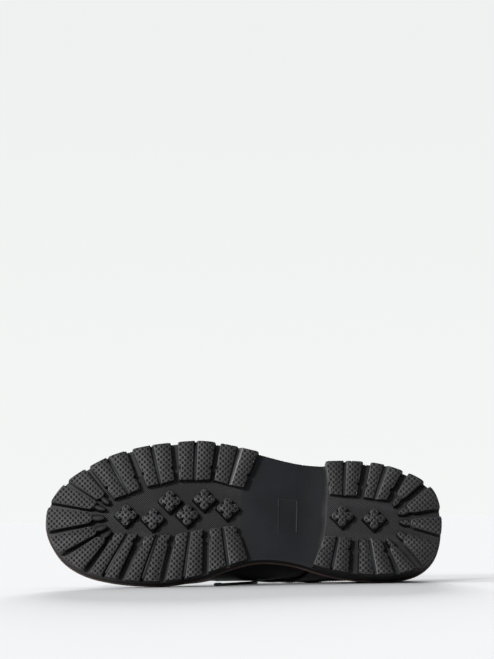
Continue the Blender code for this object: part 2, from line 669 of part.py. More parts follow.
def main():
    clear_scene()
    parts = bpy.data.collections.new("derby_shoe")
    tools = bpy.data.collections.new("cutters")
    for group in (parts, tools):
        bpy.context.scene.collection.children.link(group)
    rubber = material("black_rubber", (0.045, 0.045, 0.047), 0.72)
    brown = material("brown_edge", (0.07, 0.045, 0.03), 0.6)
    leather = material("black_leather", (0.014, 0.014, 0.016), 0.42)
    board = material("tan_insole", (0.33, 0.2, 0.11), 0.7)
    metal = material("black_enamel", (0.02, 0.02, 0.02), 0.35, 0.6)
    cord = material("black_lace", (0.015, 0.015, 0.015), 0.85)
    plastic = material("black_plastic", (0.012, 0.012, 0.012), 0.3)
    build_sole(parts, tools, rubber, brown)
    build_upper(parts, leather)
    build_quarters(parts, tools, leather)
    build_backstay(parts, leather)
    build_tongue(parts, leather)
    build_insole(parts, board)
    build_eyelets(parts, metal)
    build_bars(parts, cord)
    lay_down(list(parts.objects) + list(tools.all_objects))
    build_lace_end(parts, cord, plastic)
    bpy.context.view_layer.update()


main()
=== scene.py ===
"""A plain-toe derby shoe for the left foot, lying on its inner side on a pale floor.

Shapes are worked out upright, in millimetres: x from the back of the heel to the toe,
y to the outer side of the foot, z up from the ground under the tread. The function
lay() then turns them onto the shoe's inner side, as the frame's own parts lie.
"""
from collections import namedtuple
from math import pi, radians

import bmesh
import bpy
import numpy as np
from mathutils import Euler, Matrix, Vector


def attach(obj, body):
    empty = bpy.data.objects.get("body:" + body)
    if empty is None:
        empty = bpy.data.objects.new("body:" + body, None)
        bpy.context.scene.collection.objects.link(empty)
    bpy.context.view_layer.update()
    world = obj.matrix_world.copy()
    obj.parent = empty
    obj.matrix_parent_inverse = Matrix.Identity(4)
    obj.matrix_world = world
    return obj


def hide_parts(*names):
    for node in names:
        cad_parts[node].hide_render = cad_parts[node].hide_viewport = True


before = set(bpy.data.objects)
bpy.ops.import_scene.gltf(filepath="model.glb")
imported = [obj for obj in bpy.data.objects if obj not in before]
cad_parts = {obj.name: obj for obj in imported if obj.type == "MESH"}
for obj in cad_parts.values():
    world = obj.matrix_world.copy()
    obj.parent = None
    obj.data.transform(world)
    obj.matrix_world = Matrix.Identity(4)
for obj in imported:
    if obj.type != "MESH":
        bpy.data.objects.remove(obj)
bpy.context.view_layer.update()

# ------------------------ camera
# A long lens a little over two metres in front of the sole and just above the floor.
# It looks slightly up, so that the shoe sits low in a tall frame, and leans about one
# degree, which sets the toe end a little lower.


def put_in_scene(name, data):
    """An object of some data, linked to the scene."""
    made = bpy.data.objects.new(name, data)
    bpy.context.scene.collection.objects.link(made)
    return made


lens = bpy.data.cameras.new("camera")
lens.lens = 158.5
lens.sensor_width = 36.0
lens.clip_end = 30.0
camera = put_in_scene("camera", lens)
camera.location = (-0.00142, -2.24913, 0.055)
camera.rotation_euler = Euler((radians(93.6161), radians(0.9646), radians(-0.1166)))
bpy.context.scene.camera = camera
bpy.context.scene.view_settings.view_transform = "Standard"

# ------------------------ floor and light
# A seamless white card in a studio that is bright behind the shoe and to its left, and dim
# behind the camera and to the right. One broad light stands low at the back and lays a pale
# shadow in front of the sole; two weaker ones stand in front and beside the toe.


def new_material(name, colour, roughness, metallic=0.0, shine=0.5):
    """A principled finish, and its shader and node tree."""
    made = bpy.data.materials.new(name)
    made.use_nodes = True
    shader = made.node_tree.nodes["Principled BSDF"]
    shader.inputs["Base Color"].default_value = (*colour, 1.0)
    shader.inputs["Roughness"].default_value = roughness
    shader.inputs["Metallic"].default_value = metallic
    shader.inputs["Specular IOR Level"].default_value = shine
    return made, shader, made.node_tree


def node(tree, kind, **inputs):
    """A shader node of a kind, named without its ShaderNode, with the given inputs: i and a
    number, or the socket's name with underscores. A socket is linked, anything else is set;
    set_ names a property."""
    made = tree.nodes.new("ShaderNode" + kind)
    for name, value in inputs.items():
        if name.startswith("set_"):
            setattr(made, name[4:], value)
            continue
        socket = made.inputs[int(name[1:]) if name[1:].isdigit() else name.replace("_", " ")]
        if isinstance(value, bpy.types.NodeSocket):
            tree.links.new(value, socket)
        else:
            socket.default_value = value
    return made


def ramp(tree, value, start, end, at_start, at_end):
    """A socket's value carried evenly from one span to another, and held beyond its ends."""
    return node(tree, "MapRange", Value=value, From_Min=start, From_Max=end,
                To_Min=at_start, To_Max=at_end).outputs[0]


def reckon(tree, operation, *terms):
    """The named operation done on one to three numbers or sockets."""
    inputs = {f"i{place}": term for place, term in enumerate(terms)}
    return node(tree, "Math", set_operation=operation, **inputs).outputs[0]


def distant_light(name, comes_from, strength, spread):
    """A broad light so far off that it falls evenly: its direction and angular width."""
    data = bpy.data.lights.new(name, "SUN")
    data.energy = strength
    data.angle = radians(spread)
    put_in_scene(name, data).rotation_euler = Vector(comes_from).to_track_quat("Z", "Y").to_euler()


card = bpy.data.meshes.new("floor")
card.from_pydata([(-40, -4, 0), (40, -4, 0), (40, 300, 0), (-40, 300, 0)], [], [(0, 1, 2, 3)])
card.materials.append(new_material("white_card", (0.81, 0.812, 0.828), 0.9, shine=0.0)[0])
put_in_scene("floor", card)

sky = bpy.data.worlds.new("studio")
sky.use_nodes = True
tree = sky.node_tree
facing = node(tree, "TexCoord").outputs["Generated"]
heading = node(tree, "SeparateXYZ", Vector=facing).outputs
behind = ramp(tree, heading["Y"], -0.5, 0.5, 0.22, 1.0)
sideways = ramp(tree, heading["X"], -0.7, 0.7, 1.25, 0.25)
beyond = ramp(tree, reckon(tree, "ABSOLUTE", heading["X"]), 0.15, 0.4, 0.0, 1.0)
one_side = node(tree, "Mix", Factor=beyond, i2=1.0, i3=sideways).outputs[0]
above = ramp(tree, heading["Z"], 0.0, 0.16, 1.0, 0.955)
level = reckon(tree, "MULTIPLY", reckon(tree, "MULTIPLY", behind, above), one_side)
shade = node(tree, "VectorMath", set_operation="SCALE", i0=(0.908, 0.922, 0.914), Scale=level)
tree.links.new(shade.outputs[0], tree.nodes["Background"].inputs["Color"])
bpy.context.scene.world = sky

distant_light("back_light", (0.0, 0.982, 0.19), 6.4, 14)
distant_light("key_light", (-0.4, -0.86, 0.32), 1.7, 9)
distant_light("side_light", (-0.97, -0.13, 0.2), 2.0, 9)

# ------------------------ loose end of the lace
# A thin plaited cord of waxed cotton. It comes out of the top inner eyelet, drops to the floor
# behind the waist, and lies forward under the arch of the sole with its hard tip free.


def smooth(at, knots, values):
    """Cubic Hermite curve through values at knots; each slope is that of the parabola
    through a knot and its two neighbours."""
    slopes = np.gradient(values, knots)
    i = np.clip(np.searchsorted(knots, at) - 1, 0, len(knots) - 2)
    step = knots[i + 1] - knots[i]
    t = (at - knots[i]) / step
    return ((1 + 2 * t) * (1 - t) ** 2 * values[i] + t * (1 - t) ** 2 * step * slopes[i]
            + t * t * (3 - 2 * t) * values[i + 1] + t * t * (t - 1) * step * slopes[i + 1])


def unit(vectors):
    """Each vector divided by its length."""
    return vectors / np.linalg.norm(vectors, axis=-1, keepdims=True)


def run_along(line):
    """Distance from the start of a line to each of its points, summed over its steps."""
    return np.concatenate([[0], np.cumsum(np.linalg.norm(np.diff(line, axis=0), axis=1))])


def read_off(at, run, values):
    """Rows of values, given at each distance run, read off at other distances."""
    return np.stack([np.interp(at, run, one) for one in np.transpose(values)], -1)


def through(points, count):
    """Points of a smooth curve through a route, equally spaced along it, and its length."""
    places = np.arange(len(points), dtype=float)
    fine = np.linspace(0, len(points) - 1, 20 * count)
    line = np.stack([smooth(fine, places, axis) for axis in np.transpose(points)], 1)
    run = run_along(line)
    return read_off(np.linspace(0, run[-1], count), run, line), run[-1]


def set_finishes(mesh, which):
    """Give each face of a mesh the finish of a number."""
    mesh.polygons.foreach_set("material_index", np.asarray(which, dtype=np.int32))


def add_piece(name, shape, finishes, node_name, slot, crisp=40.0):
    """A piece of the shoe in place of one of the frame's own solids. Its shape has points in
    metres, faces of point numbers, each point's place in a flat pattern, and the number of
    each face's finish; the last two may be None. Points that meet are welded, faces are turned
    outwards, and edges that turn by more than crisp degrees stay sharp."""
    points, faces, uv, which = shape
    mesh = bpy.data.meshes.new(name)
    mesh.from_pydata(points.tolist(), [], [[int(i) for i in face] for face in faces])
    if uv is not None:
        layer = mesh.uv_layers.new(name="plan")
        corner = np.empty(len(mesh.loops), dtype=np.int32)
        mesh.loops.foreach_get("vertex_index", corner)
        layer.data.foreach_set("uv", uv[corner].ravel())
    if which is not None:
        set_finishes(mesh, which)
    for finish in finishes:
        mesh.materials.append(finish)
    work = bmesh.new()
    work.from_mesh(mesh)
    bmesh.ops.remove_doubles(work, verts=work.verts, dist=1e-6)
    bmesh.ops.delete(work, geom=[v for v in work.verts if not v.link_faces], context="VERTS")
    bmesh.ops.recalc_face_normals(work, faces=work.faces)
    work.to_mesh(mesh)
    work.free()
    mesh.shade_smooth()
    mesh.set_sharp_from_angle(angle=radians(crisp))
    made = put_in_scene(name, mesh)
    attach(made, "root")
    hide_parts(node_name)
    return made


def numbered(grid):
    """Numbers of a grid's points, counted row by row."""
    rows, columns = grid.shape[:2]
    return np.arange(rows * columns).reshape(rows, columns)


def quads(index):
    """Faces of a grid of point numbers."""
    return np.stack([index[:-1, :-1], index[1:, :-1], index[1:, 1:], index[:-1, 1:]], -1).reshape(-1, 4)


def tube(name, path, radius, finish, node_name, slot, sides=14):
    """Round cord carried along a path: each ring is a circle square to the path, of the
    radius given for that point; the pattern's u runs round it and v along it in metres."""
    along = unit(np.gradient(path, axis=0))
    across = np.zeros_like(along)
    last = np.cross(along[0], (0.31, 0.17, 0.93))
    for i, direction in enumerate(along):
        last = unit(last - direction * (last @ direction))
        across[i] = last
    turn = np.arange(sides + 1) * 2 * pi / sides
    ring = (np.cos(turn)[None, :, None] * across[:, None]
            + np.sin(turn)[None, :, None] * np.cross(along, across)[:, None])
    body = path[:, None] + np.broadcast_to(radius, len(path))[:, None, None] * ring
    run = run_along(path)
    uv = np.stack(np.broadcast_arrays(turn[None, :] / (2 * pi), run[:, None]), -1)
    points = np.concatenate([body.reshape(-1, 3), path[:1], path[-1:]])
    uv = np.concatenate([uv.reshape(-1, 2), [[0.5, 0.0], [0.5, run[-1]]]])
    index = numbered(body)
    first, final = len(points) - 2, len(points) - 1
    caps = [(first, index[0, k + 1], index[0, k]) for k in range(sides)]
    caps += [(final, index[-1, k], index[-1, k + 1]) for k in range(sides)]
    return add_piece(name, (points, quads(index).tolist() + caps, uv, None), [finish], node_name, slot)


def bump(tree, shader, height, strength, depth):
    """Roughen a finish by a height socket, depth metres at most."""
    made = node(tree, "Bump", Height=height, Strength=strength, Distance=depth)
    tree.links.new(made.outputs["Normal"], shader.inputs["Normal"])


def tinted(tree, shader, colour, shares):
    """Multiply a base colour by the product of some value sockets."""
    total = shares[0]
    for share in shares[1:]:
        total = reckon(tree, "MULTIPLY", total, share)
    mix = node(tree, "VectorMath", set_operation="SCALE", i0=colour, Scale=total)
    tree.links.new(mix.outputs[0], shader.inputs["Base Color"])


def braid(name, colour):
    """Plaited cord: the higher of two families of slanting waves that cross, four of each
    round the cord, standing out, its colour paler on the crests and darker between them."""
    made, shader, tree = new_material(name, colour, 0.72)
    place = node(tree, "UVMap", set_uv_map="plan").outputs["UV"]
    way = node(tree, "SeparateXYZ", Vector=place).outputs
    strands = []
    for slant in (5200.0, -5200.0):
        along = reckon(tree, "MULTIPLY", way["Y"], slant)
        strands.append(reckon(tree, "SINE", reckon(tree, "MULTIPLY_ADD", way["X"], 2 * pi * 4, along)))
    weave = reckon(tree, "MAXIMUM", *strands)
    bump(tree, shader, weave, 0.5, 0.00012)
    tinted(tree, shader, colour, [ramp(tree, weave, -0.6, 1.0, 0.35, 1.5)])
    return made


lace_route = [
    (21.6, 46.2, 17.8), (20.0, 49.4, 14.2), (19.8, 53.6, 9.6), (21.2, 58.4, 5.2), (24.2, 63.6, 2.2),
    (27.2, 69.6, 1.2), (26.4, 76.2, 1.15), (20.4, 79.8, 1.15), (12.8, 76.6, 1.15), (8.0, 66.6, 1.15),
    (7.0, 51.0, 1.15), (8.9, 34.4, 1.15), (9.4, 18.0, 1.15), (5.6, 1.0, 1.15), (-3.0, -17.0, 1.15),
    (-11.0, -33.0, 1.15), (-17.3, -45.4, 1.2),
]
tip_route = [(-17.4, -45.6, 1.4), (-22.6, -55.5, 1.4)]
lace_black = braid("waxed_cotton", (0.016, 0.015, 0.015))
lace_path, lace_length = through(lace_route, 260)
lace_end = tube("loose_lace", lace_path / 1000, 0.00108, lace_black, "lace_end", "black_lace")
tip_shape = np.array([0.6, 0.95, 1.0, 0.97, 1.03, 1.0, 1.0, 1.0, 1.0, 1.0, 0.97, 0.9, 0.72, 0.4])
tip_black, _, _ = new_material("tip_plastic", (0.012, 0.012, 0.013), 0.25)
tip = tube("loose_lace_tip", np.linspace(*tip_route, 14) / 1000, 0.00136 * tip_shape, tip_black,
           "lace_tip", "black_plastic", 16)

# ------------------------ outsole
# Moulded black rubber in one piece: a 5 mm plate with 8 mm lugs all round its edge, four-leaved
# studs down the middle, and a smooth waist with a bare framed panel. It is cemented and
# stitched under the midsole.

length, toe_spring, spring_start = 300.0, 13.0, 205.0
plate, lug_draft = 5.0, 0.7                         # thickness; how far a lug's flank leans out to the root
lay_turn = np.array(Matrix.Rotation(radians(2.291), 3, "Y") @ Matrix.Rotation(-radians(12.158), 3, "X")
                    @ Matrix(((-1, 0, 0), (0, 0, 1), (0, 1, 0))))
lay_at = np.array([150.265, -51.606, 47.899])

Plan = namedtuple("Plan", "x outer inner")
plan = Plan(*np.transpose([     # edge of the tread, either side of the heel's middle line
    (0, -4, -4), (5, 20, -26), (15, 30, -36.5), (30, 37, -42),
    (50, 42.4, -43.4), (75, 43.6, -41.8), (92, 43, -38.4), (108, 43.6, -34.2),
    (125, 46.2, -32.4), (143, 50, -33.8), (160, 53.6, -39.2), (180, 56.5, -46.9),
    (205, 54.8, -52), (230, 50.6, -52.4), (250, 44.8, -50.2), (270, 34.8, -44.6),
    (285, 24.5, -35), (295, 12.2, -21.5), (300, -3.5, -3.5),
]))
Arch = namedtuple("Arch", "x height")
arch = Arch(*np.transpose([     # underside of the plate, without the toe spring
    (-5, 20.2), (30, 19.4), (60, 18.6), (90, 17.9), (102, 16.8), (118, 13.8),
    (134, 10.6), (148, 8.7), (162, 8), (180, 8), (305, 8),
]))
Gap = namedtuple("Gap", "rim_x rim_y end_x end_y rim_width end_width")
fore_gaps = [Gap(*row) for row in (    # channels between the lugs, from the outer waist round the toe
    (137.2, 48.4, 148.0, 20.0, 5.0, 5.0), (170.6, 54.6, 174.2, 26.2, 4.2, 3.4),
    (203.9, 54.0, 201.1, 25.5, 6.0, 3.9), (237.5, 47.0, 226.0, 19.2, 5.2, 6.2),
    (268.2, 33.7, 249.4, 9.6, 3.4, 3.6), (283.8, 22.7, 253.6, 4.7, 2.4, 1.8),
    (296.5, 6.5, 255.4, -0.4, 2.4, 2.3), (297.3, -15.8, 254.4, -7.0, 2.8, 2.8),
    (285.8, -32.7, 251.8, -12.5, 3.0, 1.5), (266.7, -44.8, 247.4, -15.2, 4.4, 2.4),
    (240.4, -50.5, 226.8, -17.7, 6.0, 6.0), (209.9, -52.4, 202.7, -16.1, 5.6, 4.6),
    (177.5, -47.0, 177.5, -11.8, 4.9, 4.9), (143.5, -34.9, 153.2, -8.0, 4.6, 4.6),
)]
fore_lugs = "dddd" + "wwwww" + "eeee"       # d, e: double lugs, nicked far in or near; w: wedges
fore_crosses = [(238.7, -1.9), (218.3, -4.8), (205.8, 9.3), (192.3, -1.1), (179.6, 11.2), (161.9, 4.7)]
cross_arm, split_end, split_rim, wide_rim = 9.0, 2.6, 3.1, 4.6
heelward, toeward, wide_toeward = 1.4, 3.0, 6.5     # how far a split's walls lean out to the root
nub_drop, web_drop = 1.3, 2.4                       # from the tread down to a wedge's nub, a split's web
lug_marks = {                   # along each kind of flank: share of its length, step into the lug
    "w": [(0.0, 1.0), (0.02, 0.75), (0.06, 0.5), (0.11, 0.45), (0.16, 0.9), (0.195, 1.7), (0.22, 1.7),
          (0.265, 0.3), (0.31, 0.0)],
    "v": [(0.0, 0.8), (0.02, 0.35), (0.07, 0.0), (0.14, -0.2), (0.2, 0.2), (0.25, 0.9), (0.28, 0.9),
          (0.33, 0.5), (0.39, 0.1)],
    "d": [(0.0, 0.0), (0.26, 0.0), (0.3, 1.0), (0.33, 1.6), (0.355, 1.5), (0.39, 0.0)],
    "e": [(0.0, 0.0), (0.1, 0.0), (0.14, 0.9), (0.17, 1.5), (0.195, 1.4), (0.235, 0.0)],
    "-": [(0.0, 0.0)],
}
# Of the lugs' finishes, the side and dull ones are painted shade, the edge one painted light, the gloss one
# a painted highlight.
WALL, TREAD, SIDE_PAINTED_SHADE, STUD, PAINTED_SHADE, WAIST, PAINTED_LIGHT, PAINTED_HIGHLIGHT = range(8)        # finishes of the lugs, in order


def lay(points):
    """Upright millimetres to the finished place in metres: turn, then shift."""
    return (np.asarray(points, float) @ lay_turn.T + lay_at) / 1000


def spring(x):
    """Rise of the toe off the ground: square of the distance past the ball."""
    return toe_spring * np.clip((x - spring_start) / (length - spring_start), 0, None) ** 2


def underside(x):
    """Height of the plate's lower face: the arch and the toe spring."""
    return smooth(x, arch.x, arch.height) + spring(x)


def raised(height, by):
    """The same height function, so many millimetres higher."""
    return lambda x: height(x) + by


def outline(out=0.0, count=480):
    """Closed ring of the tread's edge, moved outwards along its normal: outer side to the
    toe, then the inner side back. x is half the length times one less the cosine of a turn."""
    turn = np.linspace(0, pi, count // 2 + 1)
    knots = np.arccos(1 - 2 * plan.x / length)
    x = length * (1 - np.cos(turn)) / 2
    outer, inner = (np.c_[x, smooth(turn, knots, edge)] for edge in (plan.outer, plan.inner))
    ring = np.concatenate([outer, inner[-2:0:-1]])
    along = np.roll(ring, -1, 0) - np.roll(ring, 1, 0)
    return ring + out * unit(np.c_[-along[:, 1], along[:, 0]])


def cross(a, b):
    """Area between two flat vectors: positive where b lies to the left of a."""
    return a[..., 0] * b[..., 1] - a[..., 1] * b[..., 0]


def where_ray_meets(ring, point, heading):
    """Place along a ring, as an index with a fraction, where a ray from inside meets it."""
    step = np.roll(ring, -1, 0) - ring
    down = cross(heading, step)
    distance = cross(ring - point, step) / down
    part = cross(ring - point, heading) / down
    hits = np.where((part >= 0) & (part < 1) & (distance > 0))[0]
    nearest = hits[np.argmin(distance[hits])]
    return nearest + part[nearest]


def on_ring(ring, place):
    """Point of a ring at an index with a fraction."""
    i = int(place) % len(ring)
    part = place - int(place)
    return ring[i] * (1 - part) + ring[(i + 1) % len(ring)] * part


def inset(ring, amount):
    """A closed outline moved inwards: each point shifts along the mean of its two edges'
    normals, no further than one and a half times the amount."""
    turned = np.sign(np.sum(cross(ring, np.roll(ring, -1, 0))))
    after = np.roll(ring, -1, 0) - ring
    after /= np.linalg.norm(after, axis=1, keepdims=True) + 1e-9
    before = np.roll(after, 1, 0)
    mean = np.c_[-(after + before)[:, 1], (after + before)[:, 0]] * turned
    size = np.linalg.norm(mean, axis=1, keepdims=True)
    return ring + mean / (size + 1e-9) * amount * np.minimum(2 / (size + 1e-9), 1.5)


def stand(points, height):
    """Flat points raised to the height that a function gives over their x."""
    return np.c_[points, height(points[:, 0])]


def lug_side(gap, towards, draft, kind):
    """One flank of a lug, from its inner end to the rim, and its heading. A wedge narrows to
    a neck and a round nub; a double lug has a small three-cornered nick."""
    rim, end = np.array(gap[:2]), np.array(gap[2:4])
    heading = unit(rim - end)
    into = towards * np.array([heading[1], -heading[0]])
    start = end + into * (gap.end_width / 2 - draft)
    run = rim + into * (gap.rim_width / 2 - draft) - start
    return [start + run * share + into * step for share, step in lug_marks[kind]], unit(run)


def lug_outline(first, last, ring, drafts, kinds):
    """Outline of a lug between two channels, its outer end following the rim, with the
    corners beside the channels rounded off by half a millimetre."""
    near, near_heading = lug_side(first, 1, drafts[0], kinds[0])
    far, far_heading = lug_side(last, -1, drafts[1], kinds[1])
    begin = where_ray_meets(ring, near[0], near_heading)
    finish = where_ray_meets(ring, far[0], far_heading)
    if finish < begin:
        finish += len(ring)
    share = (1 - np.cos(np.linspace(0, pi, 15))) / 2
    rim = np.array([on_ring(ring, begin + (finish - begin) * part) for part in share])
    run = run_along(rim)
    left = run if kinds[0] != "-" else np.inf
    right = run[-1] - run if kinds[1] != "-" else np.inf
    corner = np.clip(1 - np.minimum(left, right) / 1.8, 0, 1)
    rim -= 0.55 * corner[:, None] ** 2 * unit(near_heading + far_heading)
    return np.array(near + list(rim) + far[::-1])


def middle(first, last, width):
    """The narrow groove down the middle of a double lug, of a width given at the rim. It runs
    3 mm past the rim."""
    rim, end = (np.array(first[:2]) + last[:2]) / 2, (np.array(first[2:4]) + last[2:4]) / 2
    return Gap(*(rim + 3 * unit(rim - end)), *end, width, split_end)


def joined(index):
    """A grid of point numbers whose last column runs on into the first."""
    return np.concatenate([index, index[:, :1]], 1)


def barrel(index):
    """Faces of a tube of point numbers, closed by one face over each end."""
    return quads(joined(index)).tolist() + [index[0].tolist(), index[-1].tolist()]


def plain(points, faces):
    """A shape: points, faces, each point's place seen from below, and one finish for all."""
    points = points.reshape(-1, 3)
    return points, faces, points[:, :2], [0] * len(faces)


def painted(shape, walls, top):
    """The same shape with one finish on its walls and another on its last face."""
    return *shape[:3], [walls] * (len(shape[1]) - 1) + [top]


def stud(low, high, ground, root):
    """Shape of a lug from its outlines at the tread and the root: walls that draw in, an edge
    rounded over half a millimetre, and a flat tread."""
    points = np.stack([stand(high, root), stand(low * 0.92 + high * 0.08, raised(ground, 0.6)),
                       stand(inset(low, 0.1), raised(ground, 0.22)), stand(inset(low, 0.45), ground)])
    return painted(plain(points, barrel(numbered(points))), WALL, TREAD)


def gather(parts):
    """Join several shapes into one."""
    start = np.cumsum([0] + [len(part[0]) for part in parts])
    faces = [[i + first for i in face] for first, part in zip(start, parts) for face in part[1]]
    points, uv, which = (np.concatenate([part[k] for part in parts]) for k in (0, 2, 3))
    return points, faces, uv, which


def lugs(gaps, kinds, ground, root, wide):
    """Shapes of all lugs between neighbouring channels. The toeward wall of each split slopes,
    furthest in the lug numbered wide, whose split also opens out towards the rim; a low web
    lies in each split. Wedges end in a lower nub, drawn as a stud of its own."""
    made = []
    tread = outline(0.0, 960)
    for number, (kind, first, last) in enumerate(zip(kinds, gaps, gaps[1:])):
        if kind in "vw":
            low, high = (lug_outline(first, last, tread, (draft, draft), 2 * kind)
                         for draft in (0.0, lug_draft))
            made.append(stud(low[6:-6], high[6:-6], ground, root))
            low, high = (np.concatenate([line[:7], line[-7:]]) for line in (low, high))
            nub = stud(low, high, raised(ground, nub_drop), root)
            # Painted shade: the nub's walls, and all of a wedge's nub, take the darkened rubber.
            made.append(painted(nub, PAINTED_SHADE, TREAD if kind == "v" else PAINTED_SHADE))
            continue
        split = middle(first, last, wide_rim if number == wide else split_rim)
        slopes = [wide_toeward if number == wide else toeward, heelward]
        if first.rim_x > last.rim_x:
            slopes.reverse()
        halves = ((first, split, kind + "-", -2), (split, last, "-" + kind, 0))     # and the split's wall
        for (a, b, ends, wall), slope in zip(halves, slopes):
            low = lug_outline(a, b, tread, (0.0, 0.0), ends)
            high = lug_outline(a, b, tread, [slope if end == "-" else lug_draft for end in ends], ends)
            shape = stud(low, high, ground, root)
            # Painted highlight on the wide split's steep toeward wall.
            if slope == wide_toeward:
                for row in range(3):
                    shape[3][row * len(low) + wall % len(low)] = PAINTED_HIGHLIGHT
            made.append(shape)
        rim, end = np.array(split[:2]), np.array(split[2:4])
        along = unit(rim - end)
        side = np.array([along[1], -along[0]]) * (split_end / 2 + 0.5 + (number == wide))
        start, stop = end + 0.8 * along, rim - 4.2 * along
        web = np.array([start - side, start + side, stop + side, stop - side])
        made.append(painted(stud(web, web, raised(ground, web_drop), root), WAIST, WAIST))
    return made


def crosses(places, ground, root, floor_at):
    """Four-leaved studs: a diamond with a rounded notch in each side, on a low diamond base."""
    leaf = np.array([[0.88, -0.12], [0.88, 0.12], [0.64, 0.36], [0.54, 0.36], [0.28, 0.28], [0.36, 0.54],
                     [0.36, 0.64]]) * cross_arm
    quarter_turns = [np.array([[c, s], [-s, c]]) for c, s in ((1, 0), (0, 1), (-1, 0), (0, -1))]
    star = np.concatenate([leaf @ turn for turn in quarter_turns])
    base = np.array([[1.0, 0.0], [0.0, 1.0], [-1.0, 0.0], [0.0, -1.0]]) * (cross_arm + 0.4)
    made = []
    for place in places:
        made.append(painted(stud(star + place, star * 1.04 + place, ground, root), WALL, STUD))
        # The low base is painted shade, in the near-black side rubber.
        foot = stud(base + place, base * 1.08 + place, raised(floor_at, -5.0), root)
        made.append(painted(foot, SIDE_PAINTED_SHADE, SIDE_PAINTED_SHADE))
    return made


def layered(rings, spine, low, high, steps=24):
    """A thick layer: rings of points from its lower edge to its upper edge, closed below and
    above by sheets that run in to a spine line at the heights given by low and high."""
    sheets = []
    for ring, height in ((rings[0], low), (rings[-1], high)):
        flat = ring[:, :2]
        share = np.linspace(0, 1, steps)[1:, None, None]
        grid = flat * (1 - share) + spine(flat) * share
        sheets.append(np.dstack([grid, height(grid[..., 0])]))
    points = np.concatenate([sheets[0][::-1], rings, sheets[1]])
    return plain(points, quads(joined(numbered(points))).tolist())


def sole_spine(line):
    """Middle line of the sole under each point of an outline, kept short of both ends."""
    x = np.clip(line[:, 0], 36, 262)
    return np.c_[x, (np.interp(x, plan.x, plan.outer) + np.interp(x, plan.x, plan.inner)) / 2]


def between(below, above):
    """Closed solid between two grids of as many points."""
    index = numbered(below)
    rim = np.concatenate([index[0, :-1], index[:-1, -1], index[-1, :0:-1], index[:0:-1, 0]])
    after = np.roll(rim, -1)
    walls = np.stack([rim, after, after + index.size, rim + index.size], -1)
    faces = np.concatenate([quads(index), quads(index + index.size)[:, ::-1], walls]).tolist()
    return plain(np.concatenate([below, above]), faces)


def ribs(lines, ground):
    """Low moulded lines on a face, each from one point to another, with a rounded back."""
    across = np.array([-0.35, -0.21, 0.0, 0.21, 0.35])
    rise = np.array([-0.15, 0.4, 0.5, 0.4, -0.15])
    made = []
    for start, end in lines:
        along = np.subtract(end, start)
        side = unit(np.array([-along[1], along[0]]))
        line = start + np.linspace(0, 1, 16)[:, None] * along
        flat = line[:, None] + across[None, :, None] * side
        level = ground(flat[..., 0])
        made.append(between(np.dstack([flat, level - rise]), np.dstack([flat, level + 0.6])))
    return made


def dots(tree, pitch):
    """Round marks on a square lattice turned by an eighth: 1 within a mark and 0 between them,
    by the distance from each cell's middle. pitch is their spacing in millimetres."""
    place = node(tree, "UVMap", set_uv_map="plan").outputs["UV"]
    turned = node(tree, "Mapping", Vector=place, Rotation=(0, 0, pi / 4),
                  Scale=(1 / pitch, 1 / pitch, 1 / pitch)).outputs[0]
    cell = node(tree, "VectorMath", set_operation="FRACTION", i0=turned).outputs[0]
    far = node(tree, "VectorMath", set_operation="DISTANCE", i0=cell, i1=(0.5, 0.5, 0.0))
    return ramp(tree, far.outputs["Value"], 0.1, 0.42, 1.0, 0.0)


def speckle(tree, scale, detail, low, high):
    """Noise in the shoe's own space, stretched to run between two values."""
    place = node(tree, "TexCoord").outputs["Object"]
    noise = node(tree, "TexNoise", Vector=place, Scale=scale, Detail=detail).outputs[0]
    return ramp(tree, noise, 0.3, 0.7, low, high)


def rubber(name, colour, roughness, pitch=0.0, pit_shade=0.5, depth=0.0004, back=1.0, shine=0.25, cloud=0.1):
    """Moulded rubber: a dusty black, with round pits or a fine net where pitch is set; the pits are
    painted darker, as the shade in them, most of all at the toe. The toe is painted palest, as the light
    falls on it there; back is the share of that painted light left from the ball to the heel."""
    made, shader, tree = new_material(name, colour, roughness, shine=shine)
    dust = speckle(tree, 900, 4, 0.9, 1.1)
    place = node(tree, "TexCoord").outputs["Object"]
    along = node(tree, "SeparateXYZ", Vector=place).outputs["X"]
    # Painted light: the colour grows paler towards the toe.
    shares = [dust, reckon(tree, "MULTIPLY", speckle(tree, 28, 5, 1.0 - cloud, 1.0 + cloud),
                           ramp(tree, along, -0.09, 0.01, 1.0, back))]
    if pitch:
        marks = dots(tree, pitch)
        # Painted shade in the pits, darkest towards the toe.
        pit_shade_level = ramp(tree, along, -0.05, 0.03, 1.0 - pit_shade, 1.0 - 0.45 * pit_shade)
        shares.append(ramp(tree, marks, 0.0, 1.0, 1.25, pit_shade_level))
        polish = ramp(tree, marks, 0.0, 1.0, shine, 0.2 * shine)
        tree.links.new(polish, shader.inputs["Specular IOR Level"])
        bump(tree, shader, reckon(tree, "SUBTRACT", 1.0, marks), 0.8, depth)
    else:
        bump(tree, shader, dust, 0.25, 0.0001)
    tinted(tree, shader, colour, shares)
    return made


rubber_tread = rubber("rubber_tread", (0.0425, 0.0418, 0.0433), 0.48, 2.9, 0.8, 0.0013, back=0.66)
rubber_stud = rubber("rubber_stud", (0.044, 0.044, 0.046), 0.42, 3.1, 0.92, 0.0014, back=0.6)
rubber_wall = rubber("rubber_wall", (0.046, 0.046, 0.047), 0.4, back=0.8)
# Painted shade: the same rubber made far darker, for lug walls that face away from the light.
rubber_painted_shade = rubber("rubber_painted_shade", (0.008, 0.008, 0.0084), 0.5)
# Painted light: the same rubber made paler, for lug walls that face the light, towards the toe.
rubber_painted_light = rubber("rubber_painted_light", (0.066, 0.066, 0.066), 0.4)
